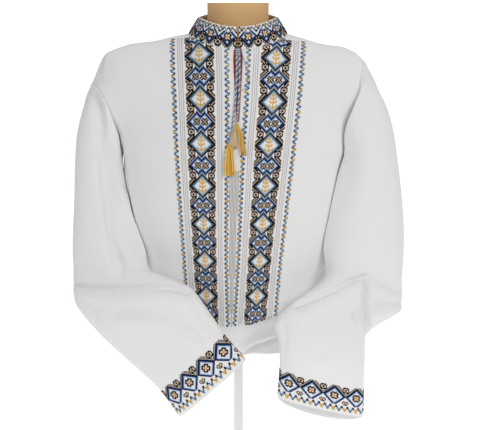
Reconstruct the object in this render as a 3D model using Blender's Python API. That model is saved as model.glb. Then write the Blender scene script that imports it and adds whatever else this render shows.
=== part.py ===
"""Embroidered shirt on a limbless dress form.

The wearer's front faces -Y and the wearer's right is at -X. The origin is the centre of the base's underside.
Each cloth piece is a thin wall: its outer face comes from a short table of sections, and Solidify adds the
thickness inwards.
"""

import math
from collections import namedtuple

import bmesh
import bpy
from mathutils import Vector

# Heights and the places that the pieces share
NECK_TOP = 1.16
HEM = 0.425
ARMPIT = 0.86
SEAM_GAP = 0.0003
# The panels lean towards each other at their seams, so their inner edges are closer than the outer ones
PANEL_GAP = 0.0012
CLOTH_WALL = 0.0016
COLLAR_WALL = 0.0020
SLIT_FOOT_TURN = 22.5

# Sections of the shirt's body below the armpit, from the hem up
BodyRing = namedtuple("BodyRing", "z half_width front back")
BODY_RINGS = (
    BodyRing(0.425, 0.225, 0.126, 0.116),
    BodyRing(0.550, 0.222, 0.126, 0.114),
    BodyRing(0.700, 0.225, 0.133, 0.114),
    BodyRing(0.860, 0.232, 0.140, 0.120),
)
BODY_ROUNDNESS = 2.2

# The shoulder lines, from the neck out to the top of the armhole; out is the distance from the centre
Shoulder = namedtuple("Shoulder", "out z")
RIGHT_SHOULDER = (
    Shoulder(0.100, 1.1000),
    Shoulder(0.134, 1.0940),
    Shoulder(0.167, 1.0860),
    Shoulder(0.224, 1.0790),
    Shoulder(0.258, 1.0680),
    Shoulder(0.279, 1.0540),
    Shoulder(0.305, 1.0020),
)
LEFT_SHOULDER = (
    Shoulder(0.100, 1.1000),
    Shoulder(0.136, 1.0900),
    Shoulder(0.169, 1.0800),
    Shoulder(0.219, 1.0730),
    Shoulder(0.245, 1.0610),
    Shoulder(0.262, 1.0450),
)

# The neckline, and the collar that stands on it
NECKLINE_SHARE = 5 / 14
NECKLINE_HALF_WIDTH = 0.100
NECKLINE_FRONT = 0.098
NECKLINE_BACK = 0.075
NECKLINE_DROP_FRONT = 0.024
NECKLINE_RISE_BACK = 0.008
COLLAR_OVERLAP = 1.02
COLLAR_TOP_HALF_WIDTH = 0.080
COLLAR_TOP_FRONT = 0.085
COLLAR_TOP_BACK = 0.065
COLLAR_HEIGHT = 0.0400
COLLAR_GAP_FOOT = 0.0012
COLLAR_GAP_TOP = 0.0030

# The armhole: how far its front and back edges bow out from the middle plane
ARMHOLE_FRONT = 0.068
ARMHOLE_BACK = 0.062
ARMHOLE_FULLNESS = 0.6

# Half the width of the neck slit, by the quarter turn from the armpit up to the neckline, in degrees
SlitWidth = namedtuple("SlitWidth", "turn half")
SLIT = (
    SlitWidth(22.5, 0.0000),
    SlitWidth(37.5, 0.0026),
    SlitWidth(52.5, 0.0052),
    SlitWidth(67.5, 0.0062),
    SlitWidth(82.5, 0.0040),
    SlitWidth(90.0, 0.0012),
)

# Large folds of the body: place across at foot and top, heights, half width across and depth inwards
BodyFold = namedtuple("BodyFold", "panel foot_at top_at foot_z top_z half depth")
BODY_FOLDS = (
    BodyFold("front", -0.62, -0.50, 0.400, 0.700, 0.10, 0.009),
    BodyFold("front", 0.60, 0.52, 0.400, 0.660, 0.11, 0.008),
    BodyFold("front", -0.84, -0.78, 0.430, 0.900, 0.08, 0.006),
    BodyFold("front", 0.82, 0.76, 0.430, 0.880, 0.08, 0.006),
    BodyFold("front", 0.12, 0.05, 0.400, 0.500, 0.10, 0.006),
    BodyFold("back", -0.66, -0.50, 0.400, 0.980, 0.10, 0.010),
    BodyFold("back", -0.18, -0.12, 0.400, 0.860, 0.11, 0.009),
    BodyFold("back", 0.28, 0.20, 0.400, 0.900, 0.10, 0.010),
    BodyFold("back", 0.72, 0.58, 0.400, 0.960, 0.09, 0.009),
)

# Sections of the sleeves: the edge nearest the body, the edge farthest from it, and how far the cloth bows
# out to the front and to the back between them
Section = namedtuple("Section", "name inner outer front back")
RIGHT_SLEEVE = (
    Section("armhole", (-0.235, 0.000, 0.860), (-0.305, 0.000, 1.002), 0.068, 0.062),
    Section("cap", (-0.238, -0.018, 0.845), (-0.322, -0.005, 0.965), 0.068, 0.060),
    Section("upper_1", (-0.231, -0.045, 0.815), (-0.332, -0.010, 0.915), 0.062, 0.048),
    Section("upper_2", (-0.224, -0.062, 0.770), (-0.342, -0.020, 0.850), 0.056, 0.042),
    Section("upper_3", (-0.214, -0.074, 0.720), (-0.350, -0.035, 0.760), 0.050, 0.040),
    Section("above_elbow", (-0.197, -0.092, 0.660), (-0.355, -0.055, 0.680), 0.045, 0.038),
    Section("elbow_fold", (-0.168, -0.114, 0.615), (-0.355, -0.075, 0.615), 0.040, 0.033),
    Section("elbow_turn", (-0.105, -0.165, 0.610), (-0.345, -0.120, 0.550), 0.040, 0.030),
    Section("forearm_1", (-0.085, -0.187, 0.600), (-0.300, -0.150, 0.505), 0.038, 0.030),
    Section("forearm_2", (-0.055, -0.202, 0.560), (-0.230, -0.170, 0.440), 0.034, 0.028),
    Section("cuff_top", (-0.022, -0.217, 0.515), (-0.160, -0.200, 0.385), 0.028, 0.024),
    Section("cuff_edge", (0.016, -0.227, 0.475), (-0.122, -0.217, 0.335), 0.026, 0.022),
)
LEFT_SLEEVE = (
    Section("armhole", (0.235, 0.000, 0.860), (0.262, 0.000, 1.045), 0.068, 0.062),
    Section("cap", (0.237, -0.022, 0.845), (0.290, -0.005, 0.995), 0.070, 0.060),
    Section("upper_1", (0.231, -0.056, 0.815), (0.312, -0.010, 0.930), 0.064, 0.043),
    Section("upper_2", (0.223, -0.072, 0.770), (0.332, -0.020, 0.850), 0.056, 0.036),
    Section("upper_3", (0.210, -0.088, 0.720), (0.348, -0.035, 0.760), 0.048, 0.036),
    Section("above_elbow", (0.192, -0.104, 0.660), (0.355, -0.055, 0.670), 0.045, 0.038),
    Section("elbow_fold", (0.172, -0.120, 0.595), (0.355, -0.075, 0.590), 0.040, 0.033),
    Section("elbow_turn", (0.105, -0.163, 0.565), (0.345, -0.112, 0.515), 0.040, 0.030),
    Section("forearm_1", (0.076, -0.184, 0.540), (0.282, -0.160, 0.485), 0.038, 0.030),
    Section("forearm_2", (0.084, -0.195, 0.500), (0.257, -0.190, 0.450), 0.034, 0.028),
    Section("cuff_top", (0.086, -0.203, 0.452), (0.256, -0.203, 0.401), 0.028, 0.024),
    Section("cuff_edge", (0.0815, -0.205, 0.390), (0.255, -0.205, 0.345), 0.026, 0.022),
)
SLEEVE_FULLNESS = 0.75
SLEEVE_POINTS = 24
RINGS_A_SECTION = 2
SLEEVE_GAP_ALONG = 0.0012
SLEEVE_GAP_OUT = 0.0014

# Panel grids: columns in the neckline and in the shoulder of each half, and rows below and above the armpit
NECK_COLUMNS = 5
FRONT_COLUMNS = (NECK_COLUMNS, 9)
BACK_COLUMNS = (NECK_COLUMNS, 7)
FRONT_ROWS = (14, 12)
BACK_ROWS = (11, 12)

# The form inside: rings of its torso from the bottom up, its shoulder line and its neck
FORM_RINGS = (
    BodyRing(0.500, 0.160, 0.100, 0.090),
    BodyRing(0.600, 0.152, 0.096, 0.086),
    BodyRing(0.700, 0.140, 0.094, 0.084),
    BodyRing(0.860, 0.172, 0.116, 0.100),
)
FORM_SHOULDER_END = 0.205
FORM_SHOULDER_FALL = 0.040
FORM_CLEARANCE = 0.0008
FORM_NECK_RADIUS = 0.0625
FORM_NECK_FOOT = 1.100
FORM_COLUMNS = (3, 7)
FORM_ROWS = (5, 7)
NECK_BEVEL = 0.0015
POLE_RADIUS = 0.011
BASE_RADIUS = 0.165
BASE_HEIGHT = 0.016
BASE_BEVEL = 0.004

# Cords and tassels: a cord's route is a list of places across and up, chosen by hand
CORD_RADIUS = 0.0013
CORD_LIFT = 0.0009
RoutePoint = namedtuple("RoutePoint", "x z")
RIGHT_CORD = (
    RoutePoint(-0.0018, 1.0770),
    RoutePoint(-0.0024, 1.0660),
    RoutePoint(-0.0022, 1.0400),
    RoutePoint(-0.0030, 1.0100),
    RoutePoint(-0.0050, 0.9800),
    RoutePoint(-0.0085, 0.9500),
    RoutePoint(-0.0130, 0.9220),
    RoutePoint(-0.0170, 0.9030),
)
LEFT_CORD = (
    RoutePoint(0.0018, 1.0770),
    RoutePoint(0.0024, 1.0660),
    RoutePoint(0.0030, 1.0400),
    RoutePoint(0.0026, 1.0100),
    RoutePoint(0.0012, 0.9800),
    RoutePoint(-0.0010, 0.9550),
    RoutePoint(-0.0022, 0.9400),
)
CORD_STEP = 0.006
Tassel = namedtuple("Tassel", "top_x top_z foot_x foot_z top_width foot_width depth")
RIGHT_TASSEL = Tassel(-0.0171, 0.9022, -0.0165, 0.8350, 0.0046, 0.0230, 0.0085)
LEFT_TASSEL = Tassel(-0.0022, 0.9392, 0.0050, 0.8760, 0.0046, 0.0240, 0.0085)
TASSEL_HEAD = 0.16
STRANDS_ACROSS = 8
STRANDS_DEEP = 4
STRAND_INSET = 0.018
TASSEL_LIFT = 0.0008

# Colours: name, red, green, blue, roughness
Finish = namedtuple("Finish", "name colour roughness")
LINEN = Finish("linen", (0.86, 0.86, 0.86), 0.85)
FORM_COVER = Finish("form_cover", (0.72, 0.45, 0.21), 0.70)
PALE_ENAMEL = Finish("pale_enamel", (0.90, 0.90, 0.89), 0.35)
CORD_YARN = Finish("cord_yarn", (0.20, 0.26, 0.42), 0.80)
TASSEL_YARN = Finish("tassel_yarn", (0.80, 0.50, 0.05), 0.65)


def blend(low, high, share):
    return low + (high - low) * share


def smooth_step(low, high, value):
    share = min(max((value - low) / (high - low), 0.0), 1.0)
    return share * share * (3.0 - 2.0 * share)


def hermite(before, low, high, after, share):
    """A point between low and high on the smooth curve through four evenly spaced values."""
    rise_low = (high - before) / 2
    rise_high = (after - low) / 2
    square = share * share
    cube = square * share
    return (
        low * (2 * cube - 3 * square + 1)
        + rise_low * (cube - 2 * square + share)
        + high * (3 * square - 2 * cube)
        + rise_high * (cube - square)
    )


def along(values, at):
    """The smooth curve through evenly spaced values, read at a place counted in steps."""
    step = min(int(at), len(values) - 2)
    before = values[step - 1] if step > 0 else values[0] * 2 - values[1]
    last = len(values) - 1
    after = values[step + 2] if step + 2 <= last else values[last] * 2 - values[last - 1]
    return hermite(before, values[step], values[step + 1], after, at - step)


def place_in(keys, key):
    """Where a key lies in a rising list, counted in steps."""
    key = min(max(key, keys[0]), keys[-1])
    step = 0
    while step < len(keys) - 2 and key > keys[step + 1]:
        step += 1
    return step + (key - keys[step]) / (keys[step + 1] - keys[step])


def read_table(table, key, value, at):
    """One column of a table, read on a smooth curve at a place in another of its columns."""
    keys = [getattr(row, key) for row in table]
    values = [getattr(row, value) for row in table]
    return along(values, place_in(keys, at))


def straight_table(table, key, value, at):
    """One column of a table, read along straight lines between its rows."""
    keys = [getattr(row, key) for row in table]
    values = [getattr(row, value) for row in table]
    place = place_in(keys, at)
    step = min(int(place), len(values) - 2)
    return blend(values[step], values[step + 1], place - step)


def ring_point(rings, depth, height, share, squareness):
    """A point of a body section: share runs from -1 to 1 across, and depth names the column of the table."""
    width = read_table(rings, "z", "half_width", height)
    deep = read_table(rings, "z", depth, height)
    side = -1.0 if depth == "front" else 1.0
    fullness = max(1.0 - abs(share) ** BODY_ROUNDNESS, 0.0) ** squareness
    return width * share, side * deep * fullness


def shoulder_of(across):
    return RIGHT_SHOULDER if across < 0 else LEFT_SHOULDER


def neckline(angle, scale=1.0):
    """A point of the neckline: angle 0 is the centre front and a half turn the centre back."""
    front = math.cos(angle) > 0
    reach = NECKLINE_FRONT if front else NECKLINE_BACK
    lift = NECKLINE_DROP_FRONT if front else NECKLINE_RISE_BACK
    return Vector(
        (
            NECKLINE_HALF_WIDTH * scale * math.sin(angle),
            -reach * scale * math.cos(angle),
            RIGHT_SHOULDER[0].z - lift * math.cos(angle) * abs(math.cos(angle)),
        )
    )


def top_point(panel, across):
    """The panel's upper edge: the neckline, then the shoulder line; across runs from -1 to 1."""
    side = -1.0 if panel == "front" else 1.0
    sign = -1.0 if across < 0 else 1.0
    if abs(across) <= NECKLINE_SHARE:
        angle = across / NECKLINE_SHARE * math.pi / 2
        if panel == "back":
            angle = math.pi - angle
        return neckline(angle) + Vector((0.0, side * PANEL_GAP / 2, 0.0))
    share = (abs(across) - NECKLINE_SHARE) / (1.0 - NECKLINE_SHARE)
    share = 0.5 * share + 0.5 * math.sin(share * math.pi / 2)
    table = shoulder_of(across)
    out = blend(table[0].out, table[-1].out, share)
    return Vector((sign * out, side * PANEL_GAP / 2, read_table(table, "out", "z", out)))


def armhole_bow(panel, turn):
    """How far the armhole's edge bows to the front or back at a quarter turn between armpit and shoulder."""
    reach = -ARMHOLE_FRONT if panel == "front" else ARMHOLE_BACK
    return reach * max(math.sin(2 * turn), 0.0) ** ARMHOLE_FULLNESS


def fold_depth(panel, across, height):
    """How far the large folds of this panel sink below its plain form."""
    depth = 0.0
    for fold in BODY_FOLDS:
        if fold.panel != panel:
            continue
        share = (height - fold.foot_z) / (fold.top_z - fold.foot_z)
        if share > 1.0:
            continue
        centre = blend(fold.foot_at, fold.top_at, max(share, 0.0))
        away = abs(across - centre) / fold.half
        if away < 1.0:
            fade = 1.0 - smooth_step(0.55, 1.0, share)
            depth += fold.depth * fade * math.cos(away * math.pi / 2) ** 2
    return depth


def body_point(panel, across, climb):
    """A point of the panel's outer face.

    across runs from -1 at the wearer's right side to 1 at the left one. climb runs from -1 at the hem to 0 at
    the armpit, and to 1 at the shoulder line and neckline.
    """
    side = -1.0 if panel == "front" else 1.0
    bend = math.sin(across * math.pi / 2)
    if climb <= 0.0:
        height = blend(ARMPIT, HEM, -climb)
        x, y = ring_point(BODY_RINGS, panel, height, bend, 1 / BODY_ROUNDNESS)
        y += side * PANEL_GAP / 2
        point = Vector((x, y, height))
    else:
        turn = climb * math.pi / 2
        opening = smooth_step(0.0, 25.0, math.degrees(turn))
        share = blend(bend, across, opening)
        x, y = ring_point(BODY_RINGS, panel, ARMPIT, share, blend(1 / BODY_ROUNDNESS, 0.9, opening))
        y += side * PANEL_GAP / 2
        top = top_point(panel, across)
        drop = math.cos(turn)
        point = Vector(
            (
                top.x + (x - top.x) * drop,
                top.y + (y - top.y) * drop + armhole_bow(panel, turn) * abs(share) ** 3,
                ARMPIT + (top.z - ARMPIT) * math.sin(turn),
            )
        )
    sink = fold_depth(panel, across, point.z)
    inward = Vector((point.x, point.y * 3.0, 0.0)).normalized()
    return point - inward * sink


def slit_half_width(climb):
    return straight_table(SLIT, "turn", "half", climb * 90.0)


def shares(columns):
    """Places across a panel, with a column at each end of the neckline."""
    in_neck, in_shoulder = columns
    half = [NECKLINE_SHARE * step / in_neck for step in range(in_neck)]
    half += [blend(NECKLINE_SHARE, 1.0, step / in_shoulder) for step in range(in_shoulder + 1)]
    return half


def climbs(rows):
    below, above = rows
    return [step / below - 1.0 for step in range(below)] + [step / above for step in range(above + 1)]


def sleeve_ring(sections, place):
    """Centre line, edges and bows of a sleeve at a place along it, counted in sections."""
    inner = along([Vector(section.inner) for section in sections], place)
    outer = along([Vector(section.outer) for section in sections], place)
    front = along([section.front for section in sections], place)
    back = along([section.back for section in sections], place)
    return inner, outer, front, back


def sleeve_point(sections, place, angle):
    """A point of the sleeve's outer face. angle 0 is the inner edge, and it goes round by the front."""
    inner, outer, front, back = sleeve_ring(sections, place)
    step = 0.25
    low = max(place - step, 0.0)
    high = min(place + step, len(sections) - 1.0)
    inner_low, outer_low, _, _ = sleeve_ring(sections, low)
    inner_high, outer_high, _, _ = sleeve_ring(sections, high)
    heading = (inner_high + outer_high) - (inner_low + outer_low)
    forward = (outer - inner).cross(heading)
    if forward.y > 0:
        forward = -forward
    forward.normalize()
    armhole = 1.0 - smooth_step(0.0, 1.6, place)
    forward = (forward * (1.0 - armhole) + Vector((0.0, -1.0, 0.0)) * armhole).normalized()
    half = math.sin(angle / 2)
    level = half * half
    reach_out = blend(level, 1.0 - abs(math.cos(angle / 2)), armhole)
    reach_up = blend(level, abs(half), armhole)
    point = Vector(
        (
            blend(inner.x, outer.x, reach_out),
            blend(inner.y, outer.y, level),
            blend(inner.z, outer.z, reach_up),
        )
    )
    swing = math.sin(angle)
    fullness = blend(SLEEVE_FULLNESS, ARMHOLE_FULLNESS, armhole)
    bow = (front if swing > 0 else -back) * abs(swing) ** fullness
    return point + forward * bow


def front_at(x, z):
    """The place on the front panel, across and climb, that lies at this x and height."""
    across = 0.0
    climb = 0.0
    for _ in range(6):
        top = top_point("front", across).z
        if z > ARMPIT:
            climb = math.asin(min((z - ARMPIT) / (top - ARMPIT), 1.0)) / (math.pi / 2)
        else:
            climb = (z - ARMPIT) / (ARMPIT - HEM)
        low, high = -1.0, 1.0
        for _ in range(24):
            across = (low + high) / 2
            if body_point("front", across, climb).x < x:
                low = across
            else:
                high = across
    return across, climb


def front_face(x, z, lift):
    """A point in front of the front panel, at this x and height and this far off its face."""
    across, climb = front_at(x, z)
    point = body_point("front", across, climb)
    return Vector((x, point.y - lift, z))


def material(finish):
    found = bpy.data.materials.get(finish.name)
    if found:
        return found
    made = bpy.data.materials.new(finish.name)
    made.use_nodes = True
    shader = made.node_tree.nodes["Principled BSDF"]
    shader.inputs["Base Color"].default_value = (*finish.colour, 1.0)
    shader.inputs["Roughness"].default_value = finish.roughness
    made.diffuse_color = (*finish.colour, 1.0)
    return made


def add_object(name, data, finish):
    made = bpy.data.objects.new(name, data)
    bpy.context.scene.collection.objects.link(made)
    data.materials.append(material(finish))
    return made


def mesh_object(name, bm, finish):
    """Makes one object of a bmesh, with its faces turned outwards and shaded smooth."""
    mesh = bpy.data.meshes.new(name)
    bm.to_mesh(mesh)
    bm.free()
    mesh.shade_smooth()
    mesh.set_sharp_from_angle(angle=math.radians(40))
    return add_object(name, mesh, finish)


def add_wall(made, thickness):
    wall = made.modifiers.new("wall", "SOLIDIFY")
    wall.thickness = thickness
    wall.offset = -1.0
    wall.use_even_offset = False
    wall.use_rim = True


def add_quads(bm, rows, flip, closed):
    """Faces between rows of vertices; flip turns their normals over."""
    for low, high in zip(rows, rows[1:]):
        count = len(low) if closed else len(low) - 1
        for step in range(count):
            after = (step + 1) % len(low)
            corners = [low[step], low[after], high[after], high[step]]
            if flip:
                corners.reverse()
            bm.faces.new(corners)


def panel_half(bm, panel, columns, rows, sign):
    """The vertices of one half of a panel, from the centre out. A slit moves the centre column aside."""
    grid = []
    for climb in climbs(rows):
        row = []
        for share in shares(columns):
            point = body_point(panel, sign * share, climb)
            if share == 0.0 and panel == "front" and climb * 90.0 > SLIT_FOOT_TURN + 0.1:
                point.x = sign * slit_half_width(climb)
            row.append(bm.verts.new(point))
        grid.append(row)
    return grid


def make_panel(panel, columns, rows):
    bm = bmesh.new()
    for sign in (-1, 1):
        grid = panel_half(bm, panel, columns, rows, sign)
        add_quads(bm, grid, flip=(sign < 0) == (panel == "front"), closed=False)
    # The halves share their centre column, except along the slit
    bmesh.ops.remove_doubles(bm, verts=bm.verts, dist=0.0001)
    made = mesh_object(panel, bm, LINEN)
    add_wall(made, CLOTH_WALL)


def make_sleeve(name, sections):
    bm = bmesh.new()
    side = -1.0 if sections[0].inner[0] < 0 else 1.0
    rows = []
    count = (len(sections) - 1) * RINGS_A_SECTION
    for ring in range(count + 1):
        row = []
        for step in range(SLEEVE_POINTS):
            angle = 2 * math.pi * step / SLEEVE_POINTS
            point = sleeve_point(sections, ring / RINGS_A_SECTION, angle)
            if ring == 0:
                point = armhole_edge(side, angle)
                following = sleeve_point(sections, 1 / RINGS_A_SECTION, angle)
                point += (following - point).normalized() * SLEEVE_GAP_ALONG
                point.x += side * SLEEVE_GAP_OUT
            row.append(bm.verts.new(point))
        rows.append(row)
    add_quads(bm, rows, flip=side < 0, closed=True)
    made = mesh_object(name, bm, LINEN)
    add_wall(made, CLOTH_WALL)


def armhole_edge(side, angle):
    """The panels' armhole edge at an angle round it, from the armpit by the front and over the shoulder."""
    if angle <= math.pi:
        return body_point("front", side, angle / math.pi)
    return body_point("back", side, 2.0 - angle / math.pi)


def collar_foot(angle):
    """The collar's foot, on the same straight stretches between columns as the panels' necklines."""
    step = math.pi / 2 / NECK_COLUMNS
    low = math.floor(angle / step) * step
    return neckline(low, COLLAR_OVERLAP).lerp(neckline(low + step, COLLAR_OVERLAP), (angle - low) / step)


def collar_point(share, angle):
    """A point of the collar's outer face, from its foot at share 0 to its top at share 1."""
    foot = collar_foot(angle)
    reach = COLLAR_TOP_FRONT if math.cos(angle) > 0 else COLLAR_TOP_BACK
    top = Vector((COLLAR_TOP_HALF_WIDTH * math.sin(angle), -reach * math.cos(angle), 0.0))
    lean = math.hypot(foot.x - top.x, foot.y - top.y)
    # The wall leans in over the neckline, so its inner lower edge hangs lower than the outer one
    foot.z += COLLAR_WALL * lean / COLLAR_HEIGHT + SEAM_GAP
    top.z = foot.z + math.sqrt(max(COLLAR_HEIGHT**2 - lean**2, 0.0)) * 1.04
    bulge = 0.0012 * math.sin(share * math.pi)
    point = foot.lerp(top, share)
    out = Vector((point.x, point.y, 0.0)).normalized()
    return point + out * bulge


def make_collar():
    bm = bmesh.new()
    rows = []
    levels = 4
    count = 40
    for level in range(levels + 1):
        share = level / levels
        gap = blend(COLLAR_GAP_FOOT, COLLAR_GAP_TOP, share) / NECKLINE_HALF_WIDTH
        row = []
        for step in range(count + 1):
            angle = blend(gap, 2 * math.pi - gap, step / count)
            row.append(bm.verts.new(collar_point(share, angle)))
        rows.append(row)
    add_quads(bm, rows, flip=False, closed=False)
    made = mesh_object("collar", bm, LINEN)
    add_wall(made, COLLAR_WALL)


def cord_route(points):
    """The cord's centre line: the smooth curve through its route, just off the cloth, read at even steps."""
    spots = [Vector((point.x, 0.0, point.z)) for point in points]
    length = sum((high - low).length for low, high in zip(spots, spots[1:]))
    count = round(length / CORD_STEP)
    route = []
    for step in range(count + 1):
        spot = along(spots, (len(spots) - 1) * step / count)
        lift = CORD_RADIUS + CORD_LIFT
        hang = smooth_step(1.052, 1.077, spot.z)
        face = front_face(spot.x - 0.004 * (1 if spot.x < 0 else -1), min(spot.z, 1.070), lift)
        collar_front = -(NECKLINE_FRONT * COLLAR_OVERLAP + CORD_RADIUS + 0.0006)
        route.append(Vector((spot.x, min(face.y, blend(face.y, collar_front, hang)), spot.z)))
    return route


def make_cord(name, points):
    curve = bpy.data.curves.new(name, "CURVE")
    curve.dimensions = "3D"
    curve.bevel_depth = CORD_RADIUS
    curve.bevel_resolution = 2
    curve.use_fill_caps = True
    route = cord_route(points)
    spline = curve.splines.new("POLY")
    spline.points.add(len(route) - 1)
    for spot, point in zip(route, spline.points):
        point.co = (*spot, 1.0)
    add_object(name, curve, CORD_YARN)


def tassel_point(tassel, across, deep, down):
    """A place in a tassel: across runs from -0.5 to 0.5, deep from 0 at the cloth and down from 0 at the top."""
    swell = smooth_step(0.0, 0.30, down) * 0.45 + 0.55 * down
    width = blend(tassel.top_width, tassel.foot_width, swell)
    depth = blend(tassel.top_width, tassel.depth, smooth_step(0.0, 0.5, down))
    centre = blend(tassel.top_x, tassel.foot_x, down)
    height = blend(tassel.top_z, tassel.foot_z, down)
    x = centre + across * width
    return front_face(x, height, TASSEL_LIFT + deep * depth)


def make_tassel(name, tassel):
    """Strands pulled out of the faces under a solid head, so that all of it is one closed body."""
    bm = bmesh.new()
    bmesh.ops.create_grid(bm, x_segments=STRANDS_ACROSS, y_segments=STRANDS_DEEP, size=0.5)
    for vert in bm.verts:
        vert.co = Vector((vert.co.x, vert.co.y + 0.5, -TASSEL_HEAD))
    lower = list(bm.faces)
    for face in lower:
        face.normal_update()
    copied = bmesh.ops.duplicate(bm, geom=bm.verts[:] + bm.edges[:] + bm.faces[:])
    upper = [item for item in copied["geom"] if isinstance(item, bmesh.types.BMFace)]
    for vert in {vert for face in upper for vert in face.verts}:
        vert.co.z = 0.0
    bmesh.ops.reverse_faces(bm, faces=lower)
    rim = [edge for edge in bm.edges if edge.is_boundary]
    bmesh.ops.bridge_loops(bm, edges=rim)
    bmesh.ops.inset_individual(bm, faces=lower, thickness=STRAND_INSET)
    tips = lower
    for level in (-0.55, -1.0):
        tips = bmesh.ops.extrude_discrete_faces(bm, faces=tips)["faces"]
        for vert in {vert for face in tips for vert in face.verts}:
            vert.co.z = level
    for vert in bm.verts:
        vert.co = tassel_point(tassel, vert.co.x, vert.co.y, -vert.co.z)
    bmesh.ops.recalc_face_normals(bm, faces=bm.faces)
    if bm.calc_volume(signed=True) < 0:
        bmesh.ops.reverse_faces(bm, faces=bm.faces)
    mesh_object(name, bm, TASSEL_YARN)


def form_top(side, across):
    """The upper edge of the form's torso: the ring under the neck, then the shoulder just below the cloth."""
    if abs(across) <= NECKLINE_SHARE:
        angle = across / NECKLINE_SHARE * math.pi / 2
        reach = side * FORM_NECK_RADIUS * math.cos(angle)
        return Vector((FORM_NECK_RADIUS * math.sin(angle), reach, FORM_NECK_FOOT))
    sign = -1.0 if across < 0 else 1.0
    share = (abs(across) - NECKLINE_SHARE) / (1.0 - NECKLINE_SHARE)
    out = blend(FORM_NECK_RADIUS, FORM_SHOULDER_END, math.sin(share * math.pi / 2))
    under_cloth = read_table(shoulder_of(across), "out", "z", out) - CLOTH_WALL - FORM_CLEARANCE
    fall = FORM_SHOULDER_FALL * smooth_step(0.150, 0.215, out)
    return Vector((sign * out, 0.0, under_cloth - fall))


def form_point(side, across, climb):
    """A point of the form's torso, with the same running numbers as the shirt's panels."""
    depth = "front" if side < 0 else "back"
    share = math.sin(across * math.pi / 2)
    if climb <= 0.0:
        height = blend(ARMPIT, FORM_RINGS[0].z, -climb)
        x, y = ring_point(FORM_RINGS, depth, height, share, 1 / BODY_ROUNDNESS)
        return Vector((x, y, height))
    turn = climb * math.pi / 2
    x, y = ring_point(FORM_RINGS, depth, ARMPIT, share, 1 / BODY_ROUNDNESS)
    top = form_top(side, across)
    drop = math.cos(turn)
    return Vector(
        (
            top.x + (x - top.x) * drop,
            top.y + (y - top.y) * drop,
            ARMPIT + (top.z - ARMPIT) * math.sin(turn),
        )
    )


def make_form_torso():
    bm = bmesh.new()
    for side in (-1.0, 1.0):
        for sign in (-1, 1):
            grid = []
            for climb in climbs(FORM_ROWS):
                points = [form_point(side, sign * share, climb) for share in shares(FORM_COLUMNS)]
                grid.append([bm.verts.new(point) for point in points])
            add_quads(bm, grid, flip=(sign < 0) == (side < 0), closed=False)
    bmesh.ops.remove_doubles(bm, verts=bm.verts, dist=0.0001)
    bmesh.ops.holes_fill(bm, edges=[edge for edge in bm.edges if edge.is_boundary], sides=0)
    bmesh.ops.recalc_face_normals(bm, faces=bm.faces)
    mesh_object("form_torso", bm, FORM_COVER)


def make_round(name, radius, low, high, bevel, finish, sides):
    """A turned piece of the form or its stand, with a softened upper edge."""
    bm = bmesh.new()
    depth = high - low
    made = bmesh.ops.create_cone(
        bm, cap_ends=True, segments=sides, radius1=radius, radius2=radius, depth=depth
    )
    bmesh.ops.translate(bm, verts=made["verts"], vec=(0.0, 0.0, (low + high) / 2))
    if bevel:
        top = [edge for edge in bm.edges if min(vert.co.z for vert in edge.verts) > high - 0.0001]
        bmesh.ops.bevel(bm, geom=top, offset=bevel, segments=2, profile=0.5, affect="EDGES")
    mesh_object(name, bm, finish)


def clear_scene():
    for item in list(bpy.data.objects):
        bpy.data.objects.remove(item, do_unlink=True)


def main():
    clear_scene()
    make_panel("front", FRONT_COLUMNS, FRONT_ROWS)
    make_panel("back", BACK_COLUMNS, BACK_ROWS)
    make_sleeve("sleeve_right", RIGHT_SLEEVE)
    make_sleeve("sleeve_left", LEFT_SLEEVE)
    make_collar()
    make_cord("cord_right", RIGHT_CORD)
    make_cord("cord_left", LEFT_CORD)
    make_tassel("tassel_right", RIGHT_TASSEL)
    make_tassel("tassel_left", LEFT_TASSEL)
    make_form_torso()
    make_round(
        "form_neck", FORM_NECK_RADIUS, FORM_NECK_FOOT + SEAM_GAP, NECK_TOP, NECK_BEVEL, FORM_COVER, 40
    )
    pole_top = FORM_RINGS[0].z - SEAM_GAP
    make_round("stand_pole", POLE_RADIUS, BASE_HEIGHT + SEAM_GAP, pole_top, 0.0, PALE_ENAMEL, 16)
    make_round("stand_base", BASE_RADIUS, 0.0, BASE_HEIGHT, BASE_BEVEL, PALE_ENAMEL, 48)


main()
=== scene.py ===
"""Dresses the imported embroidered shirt: linen, cross-stitch, cords, tassels and the form that wears it."""

import math
import random
from collections import namedtuple

import bpy
import numpy as np
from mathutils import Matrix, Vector, noise
from mathutils.bvhtree import BVHTree


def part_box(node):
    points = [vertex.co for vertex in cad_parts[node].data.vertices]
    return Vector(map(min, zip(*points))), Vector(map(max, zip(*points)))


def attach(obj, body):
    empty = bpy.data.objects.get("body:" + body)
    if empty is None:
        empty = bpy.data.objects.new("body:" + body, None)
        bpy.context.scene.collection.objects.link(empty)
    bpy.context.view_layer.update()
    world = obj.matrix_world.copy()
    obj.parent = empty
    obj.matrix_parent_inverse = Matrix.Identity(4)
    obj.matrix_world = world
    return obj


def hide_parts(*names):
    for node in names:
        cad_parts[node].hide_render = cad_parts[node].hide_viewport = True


bl_info = {
    "name": "Embroidered shirt on a dress form",
    "version": (1, 0, 0),
    "blender": (4, 5, 0),
    "location": "3D View > Sidebar > Shirt",
    "description": "Makes the cloth, the cross-stitch, the ties and the stage of an embroidered shirt",
    "category": "Object",
}

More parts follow.
